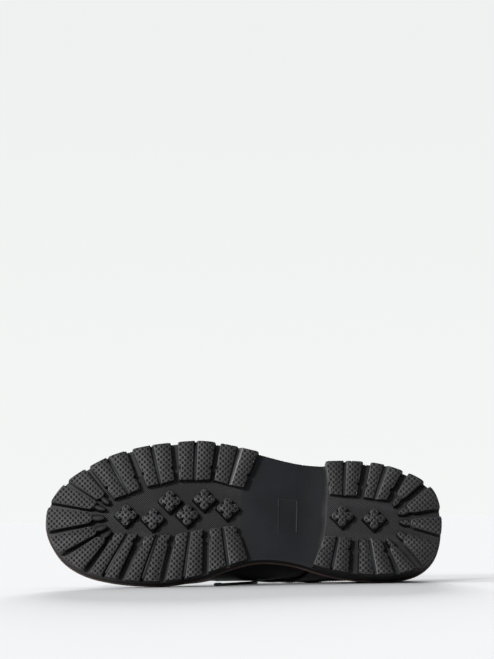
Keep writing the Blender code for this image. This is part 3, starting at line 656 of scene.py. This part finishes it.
# Painted light: the channel floors near the rim made paler against the shade the lugs cast in them, more
# towards the heel.
rubber_channel_painted_light = rubber("rubber_channel_painted_light", (0.032, 0.032, 0.033), 0.5, back=1.5)
# Painted highlight: a bright strip on the steep toeward wall of the forefoot's wide split.
rubber_painted_highlight = rubber("rubber_painted_highlight", (0.145, 0.145, 0.145), 0.35)
# Painted shade: near black for the plate's side, the lugs' outer ends, the studs' bases and the heel's
# walls.
rubber_side_painted_shade = rubber("rubber_side_painted_shade", (0.006, 0.006, 0.0063), 0.6, shine=0.08)
rubber_net = rubber("rubber_floor", (0.03, 0.03, 0.0315), 0.5, 1.2, 0.4)
rubber_waist = rubber("rubber_waist", (0.0195, 0.0205, 0.024), 0.42, cloud=0.22)
lug_finishes = [rubber_wall, rubber_tread, rubber_side_painted_shade, rubber_stud, rubber_painted_shade, rubber_waist, rubber_painted_light]
fore_ribs = [((202.4, -3.0), (180.5, 19.0)), ((204.0, 15.6), (186.5, 5.2)), ((229.5, 4.6), (224.6, -1.6)),
             ((226.0, -12.6), (219.0, -16.6))]


def dress(name, shape, *details):
    """A piece of the shoe from an upright shape, laid down on its side."""
    return add_piece(name, (lay(shape[0]), *shape[1:]), *details)


def upright_faces(piece):
    """Middles of a piece's faces in upright millimetres, the way they face, and their least
    distance from the tread's edge as seen from below."""
    faces = piece.data.polygons
    middles = (np.array([face.center for face in faces]) * 1000 - lay_at) @ lay_turn
    inwards = np.min(np.linalg.norm(middles[:, None, :2] - outline()[None], axis=2), axis=1)
    return middles, np.array([face.normal for face in faces]) @ lay_turn, inwards


def finish_walls(piece):
    """Give the lugs' outer ends, up to 1.3 mm in from the rim, the near-black side finish, painted
    shade. The other walls are painted light where they face forward and outward, and painted shade where
    they face back."""
    _, facing, inwards = upright_faces(piece)
    which = np.array([face.material_index for face in piece.data.polygons])
    which[(inwards < 1.3) & (which == WALL) & (np.abs(facing[:, 2]) < 0.5)] = SIDE_PAINTED_SHADE
    away = facing[:, 0] * -0.8 + facing[:, 1] * -0.6
    which[(which == WALL) & (away > 0.3)] = PAINTED_SHADE
    which[(which == WALL) & (away < -0.3)] = PAINTED_LIGHT
    set_finishes(piece.data, which)


lug_root = raised(underside, 1.5)                   # where the lugs end, a little inside the plate
parts = lugs(fore_gaps, fore_lugs, spring, lug_root, 0)
parts += crosses(fore_crosses, spring, lug_root, underside) + ribs(fore_ribs, underside)
finish_walls(dress("outsole_lugs", gather(parts), lug_finishes + [rubber_painted_highlight], "outsole",
                   "black_rubber", 50))


def stacked(profile, low, count=480):
    """Rings round the tread's outline, one for each step inwards and up of a profile."""
    return np.stack([stand(outline(-into, count), raised(low, up)) for into, up in profile])


side_profile = [(1.2, 0.0), (0.6, 0.12), (0.2, 0.5), (0.0, 1.2), (-0.1, 3.3), (0.2, 3.55), (0.2, 3.9),
                (-0.1, 4.15), (-0.1, 4.8), (0.2, 5.0)]
shape = layered(stacked(side_profile, underside), sole_spine, underside, raised(underside, plate))
sheet = dress("outsole_plate", shape, [rubber_side_painted_shade, rubber_net, rubber_waist, rubber_channel_painted_light], "outsole",
              "black_rubber")
middles, _, inwards = upright_faces(sheet)
below = middles[:, 2] < underside(middles[:, 0]) + 0.4
# The plate's side takes the near-black side rubber, painted shade.
side, net, waist, channel_painted_light = range(4)
# Channel floors within 21 mm of the rim take the paler rubber, painted light against their shade.
recess = np.where(inwards < 21, channel_painted_light, net)       # plain channel floors near the rim, a net further in
set_finishes(sheet.data, np.where(below, np.where(middles[:, 0] > 152, recess, waist), side))

left, right, back, front = -11, 16, 108.5, 124              # the waist's raised frame
across, along = np.meshgrid(np.linspace(left, right, 40), np.linspace(back, front, 24))
edge_off = np.minimum(np.minimum(across - left, right - across), np.minimum(along - back, front - along))
rise = np.interp(edge_off, [0, 0.35, 0.8, 1.3], [0.1, 0.6, 0.6, 0.35])
shape = between(*(np.dstack([along, across, underside(along) + up]) for up in (-rise, 1)))
dress("waist_panel", shape, [rubber_waist], "outsole", "black_rubber", 25)

# ------------------------ heel
# A separate block of the same rubber under the back of the plate, nailed and cemented, with
# its own lugs. Its breast slopes, and carries the same fine moulded net as its underside.

heel_gaps = [Gap(*row) for row in (    # channels from the inner breast round the back
    (98.8, -37.0, 90.8, -14.6, 5.0, 5.0), (66.1, -42.5, 65.3, -16.2, 7.6, 6.2),
    (33.8, -42.0, 44.0, -16.2, 4.2, 3.4), (17.8, -35.0, 36.7, -13.5, 4.4, 6.0),
    (3.0, -15.2, 32.9, -6.2, 5.4, 5.6), (1.0, 5.2, 32.4, 0.6, 5.0, 4.0),
    (12.0, 26.5, 34.8, 6.9, 4.4, 4.5), (27.8, 36.2, 39.7, 12.8, 4.2, 4.9),
    (57.0, 43.4, 61.6, 16.1, 6.3, 5.7), (90.5, 41.0, 87.0, 17.3, 5.0, 5.0),
)]
heel_crosses = [(75.0, 0.8), (50.8, -0.8)]


def ground_level(x):
    """Height of the heel's tread."""
    return 0 * x


def breast_at(y, lean):
    """Front wall of the heel: it falls back by a fortieth of y on the outer side, and sweeps
    forward on the inner one by 7.4 mm times the power 1.6 of the distance over 37 mm."""
    return 91.0 - y / 40 * (y > 0) + 7.4 * (np.clip(-y, 0, None) / 37) ** 1.6 - lean


def heel_ring(into, lean, height):
    """Outline of the heel at one level: the tread's edge round the back of the heel between
    two places on it, in 220 points, then across the breast in 39 more."""
    line = outline(-into)
    half = len(line) // 2
    outer, inner = line[:half + 1], np.concatenate([line[half:], line[:1]])
    outer_x, inner_x = breast_at(np.array([np.interp(90, *outer.T), np.interp(95, *inner[::-1].T)]), lean)
    outer_end = np.array([[outer_x, np.interp(outer_x, *outer.T)]])
    inner_end = np.array([[inner_x, np.interp(inner_x, *inner[::-1].T)]])
    path = np.concatenate([inner_end, inner[inner[:, 0] < inner_x],
                           outer[1:][outer[1:, 0] < outer_x], outer_end])
    run = run_along(path)
    share = np.linspace(0, 1, 41)[1:-1]
    y = outer_end[0, 1] * (1 - share) + inner_end[0, 1] * share
    back = read_off(np.linspace(0, run[-1], 220), run, path)
    return stand(np.concatenate([back, np.c_[breast_at(y, lean), y]]), height)


def heel_spine(line):
    """Middle line of the heel under each point of an outline."""
    return np.c_[np.clip(line[:, 0], 36, 78), 0.8 + 0 * line[:, 0]]


heel_floor, heel_top = raised(ground_level, 8.0), raised(underside, 0.1)     # faces of the heel block
heel_root = raised(heel_floor, 1.5)
levels = [(1.2, 3.9, 0.0, 0.0), (0.8, 3.5, 0.25, 0.0)]         # in, lean, up, share of the way to the plate
levels += [(0.6, 3.2 * (1 - share), 0.8, share) for share in np.linspace(0, 1, 6)]
rings = [heel_ring(into, lean, lambda x: (heel_floor(x) + up) * (1 - share) + heel_top(x) * share)
         for into, lean, up, share in levels]
block = dress("heel_block", layered(rings, heel_spine, heel_floor, heel_top, 16), [rubber_side_painted_shade, rubber_net],
              "heel", "black_rubber")
middles, facing, _ = upright_faces(block)
# The heel's walls take the near-black side rubber, painted shade.
set_finishes(block.data, (middles[:, 2] < 8.2) | (facing[:, 0] > 0.5))     # net below and on the breast

# The heel's wide split takes the painted-light rubber as its highlight.
parts = lugs(heel_gaps, "dd" + "vvvvv" + "dd", ground_level, heel_root, 7)
shape = gather(parts + crosses(heel_crosses, ground_level, heel_root, heel_floor))
finish_walls(dress("heel_lugs", shape, lug_finishes + [rubber_painted_light], "heel", "black_rubber", 50))

# ------------------------ midsole and welt
# Two brown layers of leather board and rubberised fibre. The welt is a strip that runs right
# round, sewn to the upper's edge inside and to the midsole by a row of waxed thread outside.


def stained(name, colour):
    """Edge of a leather board stained and waxed: fine grain, little shine."""
    made, shader, tree = new_material(name, colour, 0.55, shine=0.1)
    grain = speckle(tree, 450, 4, 0.75, 1.3)
    tinted(tree, shader, colour, [grain])
    bump(tree, shader, grain, 0.3, 0.0001)
    return made


dark_edge = stained("dark_edge", (0.02, 0.0155, 0.0125))
brown_edge = stained("brown_edge", (0.07, 0.049, 0.043))
board_thick, glue = 2.6, 0.3
midsole_low = raised(underside, plate + glue)
welt_low = raised(midsole_low, board_thick + glue)
board = [(0.1, 0.0), (-0.4, 0.3), (-0.6, 0.75), (-0.6, 1.9), (-0.5, 2.4), (-0.2, 2.6)]
shape = layered(stacked(board, midsole_low), sole_spine, midsole_low, raised(midsole_low, board_thick), 12)
dress("midsole_board", shape, [dark_edge], "midsole", "brown_edge")


def hoop(rings):
    """A closed band of rings, the last one joined to the first."""
    index = joined(numbered(rings))
    return plain(rings, quads(np.concatenate([index, index[:1]])).tolist())


strip = [(-0.6, 0.0), (-1.05, 0.3), (-1.2, 0.7), (-1.15, 1.4), (-0.8, 1.85), (-0.3, 2.0), (1.0, 2.0),
         (1.5, 1.7), (2.0, 2.0), (7.2, 2.0), (7.2, 0.0)]       # with the stitches' groove on top
dress("welt_strip", hoop(stacked(strip, welt_low)), [brown_edge], "welt", "brown_edge")


def stitches(name, path, facing, pitch, width, share, finish, node_name, slot):
    """A row of sewn stitches along a path, standing on it along the facing directions: each
    is a six-sided thread that dips at both ends, share of the pitch long."""
    run = run_along(path)
    at = np.arange(pitch / 2, run[-1], pitch)
    place, ahead, up = (read_off(at, run, values) for values in (path, np.gradient(path, axis=0), facing))
    ahead = unit(ahead)
    up = unit(up - ahead * np.sum(up * ahead, 1, keepdims=True))
    station = np.array([-0.5, -0.42, 0.0, 0.42, 0.5]) * pitch * share
    lift = np.array([-0.5, 0.1, 0.45, 0.1, -0.5]) * width
    thick = np.array([0.25, 0.9, 1.0, 0.9, 0.25]) * width / 2
    turn = np.arange(6) * pi / 3
    sideways = np.cos(turn)[None, :] * thick[:, None]
    upward = np.sin(turn)[None, :] * thick[:, None] + lift[:, None]
    ways = ((ahead, station[:, None]), (np.cross(ahead, up), sideways), (up, upward))
    points = place[:, None, None] + sum(way[:, None, None] * step[None, ..., None] for way, step in ways)
    one = barrel(numbered(sideways))
    faces = [[i + sideways.size * k for i in face] for k in range(len(at)) for face in one]
    dress(name, (points.reshape(-1, 3), faces, None, None), [finish], node_name, slot)


thread_black, _, _ = new_material("waxed_thread", (0.03, 0.029, 0.028), 0.5)
groove = stacked([(1.5, 1.85)], welt_low)[0]
groove = np.concatenate([groove, groove[:1]])
upright = np.repeat([[0.0, 0.0, 1.0]], len(groove), 0)
stitches("welt_stitches", groove, upright, 3.4, 0.8, 0.8, thread_black, "welt", "black_lace")

# ------------------------ upper
# Vamp of smooth black box calf, lined with thinner leather and stiffened at the toe and heel.
# It is lasted under the insole's edge and sewn to the welt. The creases lie where the ball of
# the foot bends it.

Section = namedtuple("Section", "x ridge flare_out flare_in rise crest height roof reach belly")
sections = Section(*np.transpose([   # half sections of the upper, from the feather edge to the crest
    (0, 0, 9, 9, 26, 30.0, 93.0, 82, 22, 0), (18, 0, 9, 5, 24, 28.6, 91.5, 82, 22, -0.6),
    (36, 0, 9, 1, 22, 28.4, 88.0, 82, 22, -1.8), (60, 0, 7, 3, 22, 30.2, 84.0, 84, 20, -1.2),
    (85, 0, 6, 14, 22, 31.8, 82.5, 82, 18, -0.9), (100, 0.3, 6, 22, 22, 32.0, 86.5, 74, 20, -0.2),
    (108, 0.7, 6, 25, 22, 27.0, 92.5, 62, 26, 1.2), (114, 0.8, 6, 26, 22, 18.5, 100.0, 50, 32, 3.6),
    (119, 0.8, 6, 26, 22, 10.0, 105.5, 42, 36, 5.4), (123, 0.8, 6, 26, 22, 7.0, 106.3, 38, 38, 6.5),
    (140, 0.5, 6, 24, 22, 6.4, 98.3, 35, 36, 10.2), (160, -0.5, 6, 16, 22, 6.0, 88.5, 30, 34, 9.0),
    (171, -1.4, 6, 11, 22, 5.0, 83.2, 27, 33, 7.8), (178, -1.8, 6, 9, 22, 4.0, 80.4, 25, 32, 8.0),
    (205, -4, 6, 6, 22, 0.0, 69.6, 17, 30, 5.4), (228, -5.2, 6, 6, 22, 0.0, 63.8, 10, 28, 4.6),
    (248, -6, 7, 7, 22, 0.0, 61.0, 6, 26, 2.4), (275, -6, 8, 8, 20, 0.0, 61.0, 6, 26, 0.4),
    (300, -6, 9, 9, 18, 0.0, 61.0, 8, 28, 0),
]))
heel_axis, toe_axis, throat = 36.0, 248.0, 175.0
leather, quarter_off, quarter_thick = 2.6, 0.5, 1.7
feather_in, feather_up = 4.4, 2.3                   # in from the tread's edge, up from under the welt


def drawn(x, name):
    """One column of the table of sections, read off at x."""
    return smooth(x, sections.x, getattr(sections, name))


def feather_table(side):
    """Lower edge of the upper at each half millimetre of section: x of the section, then foot,
    heading and spread, and the x that the edge reaches. The sections fan out round both ends."""
    x = np.linspace(0, length, 601)
    fan = np.where(x < heel_axis, x / heel_axis, np.clip((length - x) / (length - toe_axis), 0, 1)) * pi / 2
    ahead = np.where(x < heel_axis, -np.cos(fan), np.cos(fan))
    heading = np.stack([ahead, side * np.sin(fan)], -1)
    foot_x = np.clip(x, heel_axis, toe_axis)
    foot = np.stack([foot_x, drawn(foot_x, "ridge")], -1)
    ring = outline(-feather_in, 256)
    feather = np.array([on_ring(ring, where_ray_meets(ring, f, h)) for f, h in zip(foot, heading)])
    return x, np.c_[foot, heading, np.linalg.norm(feather - foot, axis=1), feather[:, 0]]


feathers = {side: feather_table(side) for side in (1, -1)}


def face_point(x, v, side):
    """Outer face of the upper at section x and share v from feather edge to crest: a cubic
    Bezier curve in each half section, from four control points."""
    stations, table = feathers[side]
    foot_x, foot_y, head_x, head_y, spread, feather_x = (np.interp(x, stations, one) for one in table.T)
    value = {name: drawn(x, name) for name in Section._fields[2:]}
    crest = value["crest"] * np.clip((throat - x) / 6, 0, 1)
    belly = value["belly"] * (side < 0)
    flare = np.radians(value["flare_out" if side > 0 else "flare_in"])
    roof = np.radians(value["roof"])
    base = welt_low(feather_x) + feather_up
    out = [spread, spread + value["rise"] * np.sin(flare) + belly,
           crest + value["reach"] * np.cos(roof) + belly, crest]
    up = [base, base + value["rise"] * np.cos(flare), value["height"] - value["reach"] * np.sin(roof),
          value["height"]]
    weight = [(1 - v) ** 3, 3 * v * (1 - v) ** 2, 3 * v * v * (1 - v), v ** 3]
    r = sum(w * o for w, o in zip(weight, out))
    z = sum(w * u for w, u in zip(weight, up))
    return np.stack([foot_x + r * head_x, foot_y + r * head_y, z], -1)


def normals(x, v, side):
    """Outward direction of the upper's face: across two small steps along it."""
    step = 0.05
    w = np.clip(v, step, 1 - step)
    ahead, back = (face_point(np.clip(x + way, 0, length), w, side) for way in (step, -step))
    upward = face_point(x, w + 0.01, side) - face_point(x, w - 0.01, side)
    return unit(side * np.cross(upward, ahead - back))


rounding = 8.0
Crease = namedtuple("Crease", "x slant width depth low")
creases = [                     # folds over the ball: x at the crest, lean, half width, depth, lowest v
    Crease(214, 10, 3.2, 1.1, 0.35), Crease(205, 15, 2.6, 0.9, 0.3), Crease(222, 4, 3.0, 0.7, 0.45),
    Crease(196, 20, 2.6, 0.55, 0.35), Crease(188, 24, 3.0, 0.4, 0.4),
]


def shape_off(x, v):
    """How far the leather stands off its plain form: creases over the ball, each a soft
    trough with a low swell on either side, that fade towards the welt."""
    total = np.zeros_like(x)
    for crease in creases:
        away = (x - crease.x + crease.slant * (1 - v)) / crease.width
        fade = np.clip((v - crease.low) / 0.3, 0, 1)
        fade = fade * fade * (3 - 2 * fade)
        swell = 0.45 * np.exp(-((np.abs(away) - 2.1) / 1.1) ** 2)
        total += -crease.depth * fade * (np.exp(-away ** 2) - swell)
    return total


def skin(x, v, side, off=0.0):
    """Points of the upper's face moved off it, creases included. Where the two halves meet in
    front of the throat, the crest is rounded: it drops by the tangent of the roof angle times
    the square of the way still to go to the rounding's edge, over twice the rounding."""
    face = face_point(x, v, side)
    foot_x = np.clip(x, heel_axis, toe_axis)
    middle_way = normals(foot_x, v, side) + normals(foot_x, v, -side)
    share = np.where(x > throat, np.clip((1 - v) / 0.1, 0, 1), 1.0)[..., None]
    out = unit(share * normals(x, v, side) + (1 - share) * middle_way / 2)
    away = np.hypot(face[..., 0] - foot_x, face[..., 1] - drawn(foot_x, "ridge"))
    slope = np.tan(np.radians(drawn(foot_x, "roof")))
    face[..., 2] -= (x > throat - 6) * slope * np.clip(rounding - away, 0, None) ** 2 / (2 * rounding)
    return face + (off + shape_off(x, v))[..., None] * out


def calf(name, colour, roughness):
    """Smooth calf leather: raised by the distance from the nearest pore, its colour varied by
    broad and fine noise and its polish by the broad one."""
    made, shader, tree = new_material(name, colour, roughness, shine=0.06)
    place = node(tree, "TexCoord").outputs["Object"]
    pores = node(tree, "TexVoronoi", Vector=place, Scale=1500.0).outputs["Distance"]
    broad = speckle(tree, 22, 4, 0.8, 1.25)
    tinted(tree, shader, colour, [broad, speckle(tree, 700, 3, 0.92, 1.08)])
    bump(tree, shader, pores, 0.35, 0.00012)
    tree.links.new(reckon(tree, "MULTIPLY", broad, roughness), shader.inputs["Roughness"])
    return made


black_calf = calf("black_calf", (0.0035, 0.0034, 0.004), 0.4)
lining_tan = calf("tan_lining", (0.22, 0.14, 0.085), 0.65)


def round_edges(piece, width, least_turn):
    """Round the edges that turn by more than least_turn degrees, over a width in millimetres."""
    rim = piece.modifiers.new("edge", "BEVEL")
    rim.width = width / 1000
    rim.segments = 2
    rim.limit_method = "ANGLE"
    rim.angle_limit = radians(least_turn)


def thicken(piece, amount):
    """Give a sheet its thickness inwards in millimetres, lined with its second finish."""
    wall = piece.modifiers.new("thickness", "SOLIDIFY")
    wall.thickness = amount / 1000
    wall.offset = -1
    wall.use_even_offset = True
    wall.material_offset = 1
    wall.material_offset_rim = 0


def half_face(at, v, side, off):
    """One half of the upper's face, on a grid of sections and rows, moved off it. Its pattern
    is spread flat: the section along, and 90 mm from feather edge to crest across."""
    faces = quads(numbered(at))
    faces = (faces if side > 0 else faces[:, ::-1]).tolist()
    return (skin(at, v, side, off).reshape(-1, 3), faces, np.c_[at.ravel(), v.ravel() * 90 * side],
            [0] * len(faces))


x = np.concatenate([np.linspace(0, 36, 25), np.linspace(36, 168, 67)[1:], np.linspace(168, 175, 8)[1:],
                    np.linspace(175, 248, 61)[1:], np.linspace(248, 300, 37)[1:]])
grid = np.meshgrid(x, np.linspace(0, 1, 42), indexing="ij")
vamp = dress("vamp", gather([half_face(*grid, side, 0.0) for side in (1, -1)]), [black_calf, lining_tan],
             "upper", "black_leather")
thicken(vamp, leather)

# ------------------------ quarters
# Two panels of the same calf, lapped over the vamp and sewn down along their front edges by
# two rows of stitching. Their upper fronts are the facings, which carry the eyelets.

Seam = namedtuple("Seam", "x z")
quarter_front = Seam(*np.transpose([    # front edge of the quarters from the side, sole to throat
    (97.5, 15), (98.5, 30), (101, 42), (106, 53), (116, 62), (131, 68.5),
    (148, 73), (162, 76), (170, 79), (173.5, 84), (173.5, 100),
]))


def front_of(rows, side):
    """Section where the quarter's front edge crosses each row of the upper's face, read off
    between the two of 400 sections on either side of it."""
    x = np.linspace(80, 174.9, 400)
    at, v = np.meshgrid(x, rows, indexing="ij")
    past = at - np.interp(face_point(at, v, side)[..., 2], quarter_front.z, quarter_front.x)
    first = np.argmax(past > 0, axis=0)
    first = np.where(np.any(past > 0, axis=0), np.maximum(first, 1), len(x) - 1)
    pick = np.arange(len(rows))
    a, b = past[first - 1, pick], past[first, pick]
    share = np.clip(a / (a - b + 1e-9), 0, 1)
    return x[first - 1] + share * (x[first] - x[first - 1])


def quarter_grid(side):
    """Sections and rows of a quarter: each of 64 rows runs from the back seam to the front
    edge in 130 steps."""
    v = np.linspace(0.012, 1, 64)
    front = front_of(v, side)
    share = np.linspace(0, 1, 130)
    return 0.5 + share[:, None] * (front - 0.5), np.repeat(v[None], len(share), 0), front


on_quarter = quarter_off + quarter_thick
quarters = {}
for side, name in ((1, "quarter_outer"), (-1, "quarter_inner")):
    at, v, front = quarter_grid(side)
    panel = dress(name.replace("quarter", "quarter_panel"), half_face(at, v, side, on_quarter),
                  [black_calf, lining_tan], name, "black_leather")
    thicken(panel, quarter_thick)
    round_edges(panel, 0.45, 60)
    quarters[side] = (v[0], front)

thread_fine, _, _ = new_material("black_thread", (0.02, 0.02, 0.02), 0.45)
fine_stitch = (2.4, 0.5, 0.72, thread_fine)         # pitch, width, share of the pitch, thread
seam_rows, topline_rows = (2.0, 3.9), (0.965, 0.93)     # in from the front edge; share of the way up
for side, name in ((1, "quarter_outer"), (-1, "quarter_inner")):
    v, front = quarters[side]
    along = skin(front, v, side)
    facing = normals(front, v, side)
    inward = unit(np.cross(np.gradient(along, axis=0), facing))
    inward *= -np.sign(inward[:, :1])
    for number, back in enumerate(seam_rows):
        path = along + inward * back + facing * (on_quarter + 0.05)
        stitches(f"{name}_stitches_{number}", path[1:-1], facing[1:-1], *fine_stitch, name, "black_leather")
    at = np.linspace(4, 122, 90)
    for number, height in enumerate(topline_rows):
        v = np.full(len(at), height)
        path = skin(at, v, side, on_quarter + 0.05)
        facing = normals(at, v, side)
        stitches(f"{name}_topline_{number}", path, facing, *fine_stitch, name, "black_leather")

# ------------------------ backstay
# A narrow strip of the same calf over the back seam, where the two quarters meet. It runs
# from the welt to the topline, and is cemented and sewn down along both edges.

strap_reach, strap_thick = 4.8, 1.0
at, v = np.meshgrid(np.linspace(0, strap_reach, 7), np.linspace(0.05, 1.0, 40), indexing="ij")
sheets = [np.concatenate([skin(at, v, -1, off)[::-1], skin(at, v, 1, off)[1:]])
          for off in (on_quarter + 0.3 + strap_thick, on_quarter + 0.3)]
backstay = dress("backstay_strip", between(*sheets), [black_calf], "backstay", "black_leather")
round_edges(backstay, 0.3, 30)

# ------------------------ tongue and insole
# The tongue is a soft leather flap, padded a little, sewn inside the vamp's throat. The insole
# is a tan leather board that the upper is lasted round.


def under_vamp(x, y):
    """Height 1.7 mm under the upper's inner face over a point of the instep, read off each
    section's face on that side, and level across the throat."""
    result = np.zeros_like(x)
    rows = np.linspace(0.4, 1.0, 60)
    for side in (-1, 1):
        at, v = np.meshgrid(x[:, 0], rows, indexing="ij")
        wall = face_point(at, v, side) - (leather + 1.7) * normals(at, v, side)
        for i, line in enumerate(wall[:, ::-1]):
            from_edge = side * (y[i] - line[0, 1])
            height = np.interp(from_edge, side * (line[:, 1] - line[0, 1]), line[:, 2])
            height[from_edge < 0] = line[0, 2] + 1.0
            mine = side * y[i] >= 0
            result[i, mine] = height[mine]
    return result


tongue_thick, collar_front, climb = 3.0, 123, 0.46      # it climbs behind the collar's front, mm a mm
x = np.linspace(186, 97, 60)
half = np.interp(x, [97, 101, 108, 116, 154, 166, 176, 186], [15, 22, 26, 27, 27, 26, 24, 20])
y = half[:, None] * np.linspace(-1, 1, 31)[None, :]
at = np.repeat(x[:, None], 31, 1)
above = np.dstack([at, y, under_vamp(np.maximum(at, collar_front), y)
                   + climb * np.maximum(collar_front - at, 0)])
facing = unit(np.cross(np.gradient(above, axis=1), np.gradient(above, axis=0)))
facing *= np.sign(facing[..., 2:])
dress("tongue_flap", between(above, above - tongue_thick * facing), [black_calf], "tongue", "black_leather")

insole_tan = calf("tan_insole", (0.3, 0.19, 0.11), 0.7)
insole_thick = 3.0
board = stacked([(8.2, 0.0), (8.2, 2.6), (8.6, insole_thick)], welt_low, 240)
shape = layered(board, sole_spine, welt_low, raised(welt_low, insole_thick), 14)
dress("insole_board", shape, [insole_tan], "insole", "tan_insole")

# ------------------------ eyelets and laces
# Black enamelled eyelets, five a side, rolled into the facings. The lace crosses the throat in
# straight bars, dips through each hole, and ties off inside; only its loose end hangs out.

eyelet_at = [163.0, 153.5, 144.0, 134.5, 126.5]
eyelet_in = 9.0                                     # from the facing's edge to the hole's middle


def facing_point(x, side, reach, off):
    """Point over the facing, a distance in from its edge along the leather, and the way it
    faces: from the like point a millimetre lower."""
    v = np.linspace(1.0, 0.3, 120)
    at = np.full(len(v), x)
    lines = [face_point(at, v, side) + height * normals(at, v, side) for height in (off, off - 1.0)]
    point, foot = (read_off(reach, run_along(line), line) for line in lines)
    return point, unit(point - foot)


enamel, enamel_shader, enamel_tree = new_material("black_enamel", (0.02, 0.02, 0.021), 0.28, 0.5)
worn = speckle(enamel_tree, 600, 3, 0.8, 1.4)
tinted(enamel_tree, enamel_shader, (0.022, 0.022, 0.023), [worn])
roll = [(3.9, 0.0), (3.85, 0.35), (3.55, 0.75), (3.1, 0.95), (2.65, 0.8), (2.35, 0.4), (2.25, -0.1),
        (2.2, -2.2), (2.0, -2.2), (2.05, -0.4), (2.4, -0.2), (3.6, -0.2)]      # radius and height
turn = np.arange(32) * 2 * pi / 32
points, faces, _, which = hoop(np.stack([np.stack([r * np.cos(turn), r * np.sin(turn), z + 0 * turn], -1)
                                         for r, z in roll]))
for number, x in enumerate(eyelet_at, 1):
    for side, name in ((1, "outer"), (-1, "inner")):
        centre, facing = facing_point(x, side, eyelet_in, on_quarter + 0.3)
        pose = np.array(Vector(facing).to_track_quat("Z", "Y").to_matrix())
        dress(f"rolled_eyelet_{name}_{number}", (points @ pose.T + centre, faces, None, which), [enamel],
              f"eyelet_{name}_{number}", "black_enamel")

over = on_quarter + 2.6
half_route = [(9.3, -4.6), (9.1, -2.4), (8.6, -0.6), (7.0, 0.15), (4.5, 0.4), (0.5, 0.6)]   # reach and rise
for number, x in enumerate(eyelet_at[:-1], 1):
    inner, outer = ([facing_point(x, side, reach, over + up)[0] for reach, up in half_route]
                    for side in (-1, 1))
    line, _ = through(inner + outer[::-1], 70)
    tube(f"bar_of_lace_{number}", lay(line), 0.0011, lace_black, f"lace_bar_{number}", "black_lace")
